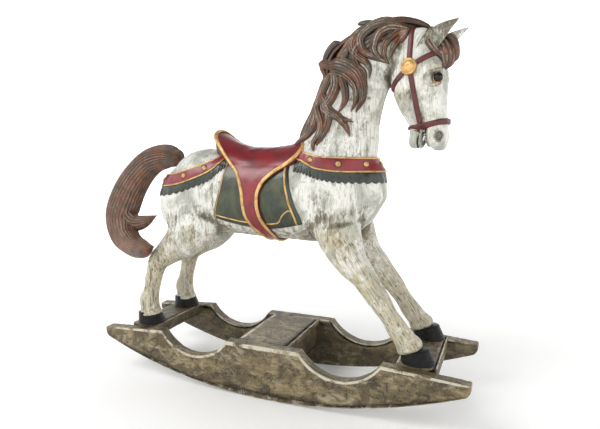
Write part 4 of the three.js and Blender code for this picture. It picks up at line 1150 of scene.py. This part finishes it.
# The bridle: seven straps settled on the head, and a turned boss over each crossing.
def makeBridle():
    straps = [("noseband", strapRound(190, 315, 10, 0, 360, 130, closed=True), "noseband"),
              ("crownpiece", strapRound(174, 374.5, 91, -12, 192), "crownpiece"),
              ("browband", strapRound(174, 374.5, 27, -4, 184), "browband")]
    for kind, start, stop in (("cheek", (175, 372), (184.5, 317.5)), ("throat", (171, 373), (152.5, 352.5))):
        straps += [(f"{kind}Strap{side.title()}", strapDown(start, stop, sign), f"{kind}_strap_{side}")
                   for side, sign in sides]
    for name, grid, node in straps:
        closed = name == "noseband"
        laid = layOn(grid, coat, 0)
        for _ in range(3):  # even out along the strap, then settle again
            along = (np.roll(laid, 1, 0) + np.roll(laid, -1, 0)) / 2
            if not closed:
                along[[0, -1]] = laid[[0, -1]]
            laid = layOn(laid + 0.5 * (along - laid), coat, 0)
        outer, inner = strapSides(laid, coatNormal(laid))
        piece = platePiece(name, outer, inner, {"edge": 0 * outer[..., 0]}, closed)
        finish(piece, paints["bridle"], "bridle_paint", node)
    r = faceLook["bossRadius"]
    profile = [(share * r, rise) for share, rise in faceLook["bossProfile"]]
    for side, sign in sides:
        spot = turnHead(np.array([faceLook["boss"][0], sign * 22, faceLook["boss"][1]]) * mm)[None, None]
        place, way = layOn(spot, coat, 0)[0, 0], coatNormal(spot)[0, 0]
        finish(tubesPiece(f"boss_{side}", [(turnedGrid(place, way, profile), {})]), paints["gold"],
               "gold_paint", f"rosette_{side}")


# Eyes, their lids, the nostrils, the mouth and the teeth.
def makeFace():
    x, z = faceLook["eye"]
    balls, whites, ambers, lids, holes = [], [], [], [], []
    pivot = np.array([head["pivot"], 0, 0])
    a = np.linspace(0, 2 * np.pi, 72, endpoint=False)
    for side, sign in sides:
        r, out = faceLook["eyeRadius"], faceLook["eyeOut"]
        balls.append((turnHead(blob([x, out, z, r, r * 0.85, r * 1.05], sign, 30, 40)), {}))
        whites.append((turnHead(blob([x - 2.6, out - 1.8, z - 0.4, 8.6, 4.6, 6.8], sign, 30, 48)), {}))
        arc = np.radians(np.linspace(95, 285, 48))
        line = np.stack([x + 5.5 * np.cos(arc), sign * (out + 2.0 + 1.1 * np.cos(arc)),
                         z + 5.6 * np.sin(arc)], 1) * mm
        outward = turnHead(pivot + np.array([0.3, sign, 0]) + np.zeros((48, 3))) - pivot
        ambers.append((beadGrid(turnHead(line), outward, 2.3, 1.3), {}))
        ring = np.stack([x - 2.0 + 9.6 * np.cos(a), sign * (17 - 3.2 * np.cos(a)), z + 7.4 * np.sin(a)
                         + 1.1 * np.cos(a)], 1) * mm
        ring = layOn(turnHead(ring)[:, None], coat, 0)[:, 0]
        lids.append(beadGrid(ring, coatNormal(ring[:, None])[:, 0], 3.4, 2.1, 0.0, 14, closed=True))
        nx, ny, nz = faceLook["nostril"]
        holes.append((turnHead(blob([nx - 0.4, ny - 0.9, nz, 4.3, 3.0, 5.4], sign, 14, 24)), {}))
        b = np.linspace(0, 2 * np.pi, 48, endpoint=False)
        rim = np.stack([nx + 4.9 * np.cos(b), sign * (ny + 1 + 0 * b),
                        nz + 6.2 * np.sin(b) - 0.8 * np.cos(b)], 1) * mm
        rim = layOn(turnHead(rim)[:, None], coat, 0)[:, 0]
        lids.append(beadGrid(rim, coatNormal(rim[:, None])[:, 0], 1.9, 0.8, 0.0, 12, closed=True))
    finish(tubesPiece("eyes", balls), paints["eye"], "eye_glass", "eye_right", "eye_left")
    finish(tubesPiece("eyeWhites", whites), paints["eyeWhite"], "eye_glass")
    finish(tubesPiece("eyeCorners", ambers), paints["amber"], "eye_glass")
    rims = loopPiece("lids", lids)
    for key, value in (("hollowAndShade", 0.5), ("wearAndShade", 0.35)):
        markPoints(rims.data, key, np.full(len(rims.data.vertices), value))
    finish(rims, paints["coat"], "coat_paint")
    finish(tubesPiece("nostrils", holes), paints["nostril"], "eye_glass")
    dark = []
    for spot, lean in faceLook["linings"]:
        lining = blob(spot, 1, 20, 28)
        lining[..., 0] += lean * (lining[..., 2] - spot[2] * mm)
        dark.append((turnHead(lining), {}))
    finish(tubesPiece("mouthLining", dark), paints["mouth"], "eye_glass")
    teeth = []
    for top, bottom, size in (((185.4, 309), (182.4, 293.0), 1.8), ((188.2, 309), (191.4, 293.5), 1.2)):
        for t in np.linspace(-1, 1, 19):  # a horseshoe of teeth
            y, up = 10.6 * math.sin(t * math.pi / 2), abs(t) ** 2.4
            tx, tz = bottom[0] + (top[0] - bottom[0]) * up, bottom[1] + (top[1] - bottom[1]) * up
            teeth.append((turnHead(blob([tx, y, tz, size, size * 0.85, size * 1.1], 1, 12, 14)), {}))
    finish(tubesPiece("teethRows", teeth), paints["tooth"], "tooth_paint", "teeth")


# Ears: a leaf with a crescent section, hollow towards the side and front, along a bowed midrib.
earLook = {"rows": [[183, 12.5, 387, 5.6], [188, 14.5, 393, 8.2], [196, 17, 400, 9.3], [205, 19, 406.5, 7.6],
                    [214, 20.3, 411.5, 4.4], [223.5, 21.6, 416.0, 0.6]], "depth": 6.2, "wall": 2.4}


# Each ear is a ring along its midrib: half width sin(a), depth |cos(a)| to the power 0.8, with fine ribs inside.
def makeEars():
    for side, sign in sides:
        path = smoothPath(earLook["rows"], 70)
        centre = path[:, :3] * [1, sign, 1]
        size = np.maximum(path[:, 3], 0.3)[:, None]
        way = unit(np.gradient(centre, axis=0))
        front = np.array([0.42, 0.95 * sign, -0.15]) + 0 * way
        front = unit(front - way * (front * way).sum(1)[:, None])
        across = np.cross(way, front)
        a = np.linspace(0, 2 * np.pi, 56, endpoint=False)[None]
        c = np.cos(a)
        share = np.clip(size / 10, 0.05, 1)
        deep = np.where(c > 0, earLook["depth"] - earLook["wall"], earLook["depth"]) * share
        bowl = -deep * np.abs(c) ** 0.8 + np.where(c > 0, 0.35 * np.sin(9 * np.sin(a)) * share, 0)
        grid = centre[:, None] + across[:, None] * (np.sin(a) * size)[..., None] \
            + front[:, None] * (bowl + 3.0 * share)[..., None]
        inside = 0.17 * np.abs(c) ** 0.5 * np.clip(1.5 - share, 0.5, 1)
        marks = {"hollowAndShade": 0.48 + np.where(c > 0, inside, 0) + 0 * size, "wearAndShade": 0.3 + 0 * size * a}
        piece = tubesPiece(f"ear_{side}Carved", [(turnHead(grid * mm), marks)])
        finish(piece, paints["coat"], "coat_paint", f"ear_{side}")


makeBridle()
makeFace()
makeEars()
print("head fittings made")


# Hair: every lock is a tapered half-round strand with lengthwise grooves, laid on the core of the mane.
hairShape = {"groove": 0.42, "lift": 0.4, "strand": 2.3}
maneRows = [
    [36, 0, 285, 0, 0], [50, 0, 298, 11, 8], [71, 0, 326, 13.5, 12.5], [89, 0, 362, 14, 15],
    [105, 0, 389, 14.5, 16.5], [125, 0, 405, 16, 17.5], [147, 0, 412, 14.5, 15], [167, 0, 411, 0, 0],
]
# Locks on the right side of the neck: [width, thickness, points x, y, z].
locks = [
    [13, 6, (164, -9, 424), (146, -10, 431), (128, -10, 429), (115, -12, 422), (109, -15, 411), (107, -17, 401),
     (114, -18, 390), (124, -18, 383), (128, -18, 375), (127, -18, 366)],
    [12, 6, (163, -12, 420), (144, -13, 423), (127, -14, 418), (118, -16, 410), (118, -17, 399), (128, -17, 390),
     (140, -16, 385), (149, -15, 380)],
    [11, 6, (167, -13, 417), (151, -15, 418), (138, -16, 412), (132, -17, 403), (132, -17, 394), (138, -17, 387),
     (147, -15, 381)],
    [10, 5, (168, -13, 414), (156, -15, 412), (147, -15, 406), (143, -16, 398), (143, -17, 389), (148, -15, 380)],
    [9, 5, (168, -13, 410), (160, -14, 407), (154, -15, 400), (151, -16, 392), (148, -16, 384)],
    [14, 7, (122, -7, 424), (110, -8, 418), (98, -9, 411), (85, -10, 404), (76, -10, 393), (73, -11, 380)],
    [12, 6, (114, -13, 411), (101, -14, 407), (91, -15, 400), (85, -15, 390), (83, -15, 380)],
    [17, 8, (68, -9, 384), (84, -15, 386), (102, -18, 381), (115, -19, 371), (120, -20, 358), (120, -20, 344),
     (113, -21, 330)],
    [11, 6, (74, -12, 376), (90, -16, 375), (105, -20, 367), (113, -21, 356), (113, -21, 343), (108, -22, 331)],
    [14, 7, (76, -6, 392), (70, -7, 377), (66, -7, 364), (61, -7, 350), (56, -7, 337), (50, -7, 323),
     (42, -7, 313), (35, -6, 304)],
    [12, 6, (78, -11, 384), (74, -12, 369), (69, -12, 356), (65, -12, 343), (59, -12, 332), (53, -12, 319),
     (45, -11, 308), (37, -10, 299)],
    [13, 7, (84, -15, 380), (89, -17, 362), (84, -18, 347), (76, -18, 337), (85, -21, 329), (99, -24, 324),
     (112, -23, 320)],
    [11, 6, (74, -16, 342), (84, -20, 332), (96, -24, 324), (104, -25, 314), (108, -25, 304)],
    [12, 6, (60, -12, 344), (68, -17, 331), (74, -21, 319), (72, -24, 307), (66, -25, 297), (67, -28, 287)],
    [12, 6, (68, -13, 356), (77, -18, 341), (82, -22, 328), (81, -24, 316), (76, -26, 305), (70, -27, 294)],
    [10, 5, (50, -8, 325), (56, -13, 315), (53, -15, 305), (44, -13, 298), (36, -10, 291)],
    [10, 6, (93, -17, 372), (100, -20, 357), (101, -22, 343), (94, -23, 331)],
    [12, 6, (67, -13, 336), (65, -17, 320), (58, -18, 309), (47, -15, 300), (38, -12, 291)],
    [9, 5, (104, -15, 400), (96, -16, 388), (98, -19, 377), (107, -20, 366)],
    [9, 5, (116, -15, 404), (110, -17, 392), (113, -18, 381), (122, -18, 372), (124, -18, 361)],
]
forelockRows = [[184, 0, 408, 0, 0], [191, -1, 405, 8, 8], [202, -2, 397, 9, 10], [208, -3, 387, 8.5, 10],
                [209.5, -4, 378, 6.5, 8], [207, -6, 370, 0, 0]]
crestLocks = [  # along the top of the neck
    [22, 8, (178, 0, 408), (168, 0, 415), (152, 0, 422), (137, 0, 424.5), (124, 0, 423), (115, 0, 420),
     (107, 0, 416)],
    [20, 9, (134, 0, 411), (120, 0, 408), (106, 0, 405), (94, 0, 401), (84, 0, 394), (78, 0, 384), (77, 0, 372)],
    [20, 8, (91, 2, 392), (84, 2, 380), (80, 1, 366), (75, 0, 352), (69, 0, 338), (61, 0, 324)],
    [18, 8, (79, -1, 354), (72, -1, 338), (64, 0, 323), (56, 0, 311), (47, 0, 302), (39, 0, 295)],
    [13, 5, (120, -8, 416), (106, -9, 411), (93, -9, 404), (83, -9, 394), (78, -10, 382), (76, -10, 371)],
    [13, 5, (120, 8, 416), (106, 9, 411), (93, 9, 404), (83, 9, 394), (78, 10, 382), (76, 10, 371)],
    [15, 7, (140, -3, 421.5), (152, -4, 424), (164, -4, 423), (176, -4, 420), (189, -5, 415)],
    [14, 7, (140, 5, 421.5), (152, 6, 423), (164, 7, 421.5), (177, 8, 419), (190, 8, 416)],
    [12, 6, (140, -5, 419), (131, -5, 422), (124, -5, 424.5), (117, -6, 425.5), (110, -6, 426)],
    [12, 6, (138, -8, 418), (126, -9, 419), (117, -10, 417), (109, -10, 412), (104, -10, 404)],
]
foreLocks = [  # before the head turns
    [11, 6, (186, -3, 411), (198, -5, 407), (207, -4, 405), (213, -3, 399), (216, -2, 389), (216, -4, 379),
     (211, -7, 372)],
    [10, 6, (186, -7, 409), (195, -10, 402), (203, -10, 398), (210, -7, 390), (212, -8, 381), (207, -11, 375)],
    [9, 5, (188, -11, 402), (194, -14, 396), (199, -14, 390), (203, -10, 385), (207, -8, 378), (206, -12, 371)],
    [11, 6, (186, 3, 411), (199, 2, 408), (208, 1, 402), (213, 0, 393), (213, 3, 383), (208, 4, 375)],
    [10, 6, (186, 7, 409), (196, 9, 402), (204, 8, 396), (209, 5, 388), (208, 8, 378)],
    [8, 5, (188, 10, 402), (194, 13, 394), (200, 11, 387), (204, 9, 379)],
]


# One lock: half-width and height follow the taper; grooves are |sin| waves across it that wander a little.
def lockGrid(line, outward, width, thick, seed, rings=64, around=44, strands=3.0):
    t = np.linspace(0, 1, rings)[:, None]
    root = np.minimum(1, 0.45 + t / 0.22) * np.sqrt(np.clip(t / 0.03, 0, 1))
    taper = np.maximum(root * np.clip(1 - t ** 2.4, 0, 1) ** 0.75, 0.03)
    a = np.linspace(0, 2 * np.pi, around, endpoint=False)[None]
    u = np.cos(a)
    wander = 0.22 * np.sin(5.5 * t + seed) + 0.10 * np.sin(13 * t + 2 * seed)
    ridge = np.abs(np.sin(np.pi * strands * (np.arcsin(u * 0.98) / np.pi + 0.5) + wander * 2 + seed)) ** 0.75
    ridge = 1 - (1 - ridge) * (0.7 + 0.3 * np.sin(3 * u + 4 * t + seed))
    top = np.sin(a) > -0.2
    ridge = np.where(top, ridge, 0.35)
    swell = 1 - hairShape["groove"] * (1 - ridge)
    rise = np.where(np.sin(a) > 0, np.sin(a) * thick * (0.55 + 0.45 * swell), np.sin(a) * thick * 0.45)
    along = np.gradient(line, axis=0)
    across = unit(np.cross(along, outward))
    body = line[:, None] + across[:, None] * (u * width / 2 * taper * (0.86 + 0.14 * swell) * mm)[..., None] \
        + outward[:, None] * (rise * swell * np.sqrt(taper) * mm)[..., None]
    mark = ridge * (0.55 + 0.45 * np.clip(np.sin(a), 0, 1))
    return body, {"ridge": mark}


# Runs each lock over the surface under it.
def runLocks(rows, target, turned=False, mirror=1, seed=0, crest=False):
    made = []
    for k, (width, thick, *points) in enumerate(rows):
        line = smoothPath(np.array(points) * [1, mirror, 1], 64) * mm
        line = (turnHead(line) if turned else line)[:, None]
        outward = coatNormal(line, target)[:, 0]
        for _ in range(6):
            outward[1:-1] = unit(outward[1:-1] + 0.5 * (outward[2:] + outward[:-2]))
        laid = layOn(line, target, hairShape["lift"] * mm)[:, 0]
        far = np.linalg.norm(laid - line[:, 0], axis=1)[:, None]
        line = line[:, 0] if crest else np.where(far < 9 * mm, laid, line[:, 0])
        if crest:  # these stand up from the neck's top line
            way = unit(np.gradient(line, axis=0))
            outward = line - np.array([140, 0, 330]) * mm
            outward = unit(outward - way * (outward * way).sum(1)[:, None])
        for _ in range(4):
            line[1:-1] = 0.5 * line[1:-1] + 0.25 * (line[2:] + line[:-2])
        made.append(lockGrid(line, outward, width, thick, seed + 1.7 * k, strands=width / hairShape["strand"]))
    return made


# A grooved body of hair along rows, with strands that wander round it as they run.
def groovedLoft(rows, rings, around, strands, depth, seed, twist=0.0, sway=1.0):
    grid = loftGrid(rows, rings, around) / mm
    t = np.linspace(0, 1, rings)[:, None]
    a = np.linspace(0, 2 * np.pi, around, endpoint=False)[None]
    wander = sway * (0.35 * np.sin(7 * t + seed + a) + 0.2 * np.sin(15 * t + 2 * a + seed))
    uneven = 0.75 + 0.25 * np.sin(3 * a + seed + 2 * t)
    ridge = 1 - (1 - np.abs(np.sin((a + twist * t) * strands / 2 + wander)) ** 0.65) * uneven
    small = np.abs(np.sin((a + twist * t) * strands * 1.5 + 2 * wander + 1))
    centre = grid.mean(1, keepdims=True)
    away = grid - centre
    size = np.linalg.norm(away, axis=-1, keepdims=True)
    cut = depth * (1 - ridge) + 0.22 * depth * (1 - small)
    keep = np.clip(1 - cut[..., None] / np.maximum(size, 0.5), 0.35, 1)
    return (centre + away * keep) * mm, {"ridge": np.clip(ridge * 0.8 + 0.2 * small, 0, 1)}


# The mane: a grooved core, locks laid over it on both sides, tufts along the crest, and the forelock.
def makeMane():
    core = tubesPiece("maneCore", [groovedLoft(maneRows, 180, 160, 22, 2.2, 2.0)])
    plain = meshPiece("plain", *plainBody(maneRows))
    under = joined("under", [coat, plain])
    bpy.data.objects.remove(plain)
    made = runLocks(crestLocks, under, seed=3, crest=True) + runLocks(locks, under)
    away = [[w, h, *[(x + 3 * math.sin(2.1 * k), y, z - 2 * math.cos(1.3 * k)) for x, y, z in points]]
            for k, (w, h, *points) in enumerate(locks[:-2])]
    made += runLocks(away, under, mirror=-1, seed=9)
    half = len(made) // 2
    finish(core, paints["hair"], "hair_paint", "mane")
    finish(tubesPiece("maneLocksRight", made[:half]), paints["hair"], "hair_paint")
    finish(tubesPiece("maneLocksLeft", made[half:]), paints["hair"], "hair_paint")
    front = runLocks(foreLocks, coat, turned=True, seed=5)
    bulk, mark = groovedLoft(forelockRows, 80, 70, 11, 1.4, 3.0)
    front.append((turnHead(bulk), mark))
    finish(tubesPiece("forelockLocks", front), paints["hair"], "hair_paint", "forelock")
    bpy.data.objects.remove(under)


# Points and faces of a smooth loft.
def plainBody(rows, rings=60, around=40):
    grid = loftGrid(rows, rings, around)
    return grid.reshape(-1, 3), [quadsOf(rings, around)]


# Several quad meshes put together as one, for hair to be laid on.
def joined(name, pieces):
    points, faces, start = [], [], 0
    for piece in pieces:
        points.append(pointsOf(piece.data))
        faces.append(quadCornersOf(piece.data) + start)
        start += len(points[-1])
    mesh = bpy.data.meshes.new(name)
    mesh.from_pydata(np.vstack(points).tolist(), [], np.vstack(faces).tolist())
    return link(bpy.data.objects.new(name, mesh))


tailRows = [
    [-130, 0, 277, 0, 0], [-136, 0, 279.5, 9.5, 9], [-142, 0, 281, 12.5, 11], [-155, 0, 283, 16, 14],
    [-178, -3, 277, 18, 18],
    [-199, -8, 258, 20, 19], [-215, -13, 232, 23, 19], [-221.4, -20, 203, 24.5, 19], [-211, -28, 181, 23, 18],
    [-195, -36, 171, 19, 15], [-172, -48, 166, 15, 11], [-150, -57, 167, 10, 7], [-136, -60, 171, 0, 0],
]
tailTip = [[-220, -22, 218, 0, 0], [-210, -24, 201, 12, 12], [-193, -27, 194, 11, 10], [-170, -34, 198, 8, 6],
           [-145, -40, 208, 0, 0]]
tailSway = 2.592  # how far the strands wander, against 1 on the mane


# The tail: two grooved lofts, the second curling up inside the first.
def makeTail():
    parts = [groovedLoft(tailRows, 280, 300, 30, 1.9, 1.0, 0.5, tailSway),
             groovedLoft(tailTip, 120, 120, 14, 1.3, 4.0, 0.4, tailSway)]
    finish(tubesPiece("tailCarved", parts), paints["tail"], "hair_paint", "tail")


makeMane()
makeTail()
print("hair made")


# Camera, lights and floor. Each lamp is [name, place, size, power]; all of them aim at the horse's middle.
studio = {
    "floor": (0.90, 0.90, 0.895), "glow": 0.74, "world": 0.26, "lens": 29.8365, "aim": (0, 0, 0.22),
    "ahead": (-0.38395, 0.91485, -0.12507), "up": (-0.04274, 0.1177, 0.99213),
    "place": (0.27074, -0.5556, 0.28783),
    "lamps": [("key", (-0.9, -1.0, 1.5), 0.9, 15.0), ("fill", (1.6, -0.8, 0.9), 1.2, 1.2),
              ("rear", (0.2, 1.4, 1.4), 1.2, 3.0)],
}


# Rows of a matrix that looks ahead from a place, with up made square to ahead.
def turnTo(ahead, up, place):
    ahead = unit(np.array(ahead, float))
    up = unit(np.array(up, float) - ahead * (np.array(up, float) @ ahead))
    right = np.cross(ahead, up)
    return [[right[k], up[k], -ahead[k], place[k]] for k in range(3)] + [[0, 0, 0, 1]]


# The camera, three round lamps, an even sky and a floor that glows less near the horse.
def makeStudio():
    lens = bpy.data.cameras.new("camera")
    lens.sensor_width, lens.lens, lens.clip_start, lens.clip_end = 36.0, studio["lens"], 0.01, 60
    camera = link(bpy.data.objects.new("camera", lens))
    camera.matrix_world = Matrix(turnTo(studio["ahead"], studio["up"], studio["place"]))
    bpy.context.scene.camera = camera
    bpy.context.scene.view_settings.view_transform = "Standard"
    for name, place, size, power in studio["lamps"]:
        lamp = bpy.data.lights.new(name, "AREA")
        lamp.shape, lamp.size, lamp.energy = "DISK", size, power
        light = link(bpy.data.objects.new(name, lamp))
        light.matrix_world = Matrix(turnTo(np.array(studio["aim"]) - place, (0.01, 0.02, 1), place))
    world = bpy.data.worlds.new("studio")
    world.use_nodes = True
    world.node_tree.nodes["Background"].inputs[0].default_value = (1, 1, 1, 1)
    world.node_tree.nodes["Background"].inputs[1].default_value = studio["world"]
    bpy.context.scene.world = world
    # floor: a disc that curves up into a low wall all round
    bend = np.linspace(0.1, np.pi / 2, 14)
    r = np.concatenate([np.linspace(0.001, 3, 12), 3 + 1.2 * np.sin(bend), [4.2]])[:, None]
    z = np.concatenate([np.zeros(12), 1.2 - 1.2 * np.cos(bend), [2.6]])[:, None] - 0.0005
    a = np.linspace(0, 2 * np.pi, 72, endpoint=False)[None]
    grid = np.stack([r * np.cos(a), r * np.sin(a), z + 0 * a], -1)
    floor = meshPiece("floor", grid.reshape(-1, 3), [quadsOf(len(r), 72)])
    made = Recipe("floorPaint")
    away = made.add("ShaderNodeVectorMath", {0: made.coords}, operation="LENGTH").outputs["Value"]
    made.done(studio["floor"], 0.8, Emission_Strength=made.times(made.ramp(away, -0.5, 1.7), studio["glow"]))
    made.shader.inputs["Emission Color"].default_value = (1, 1, 1, 1)
    floor.data.materials.append(made.material)


makeStudio()
print("studio ready")
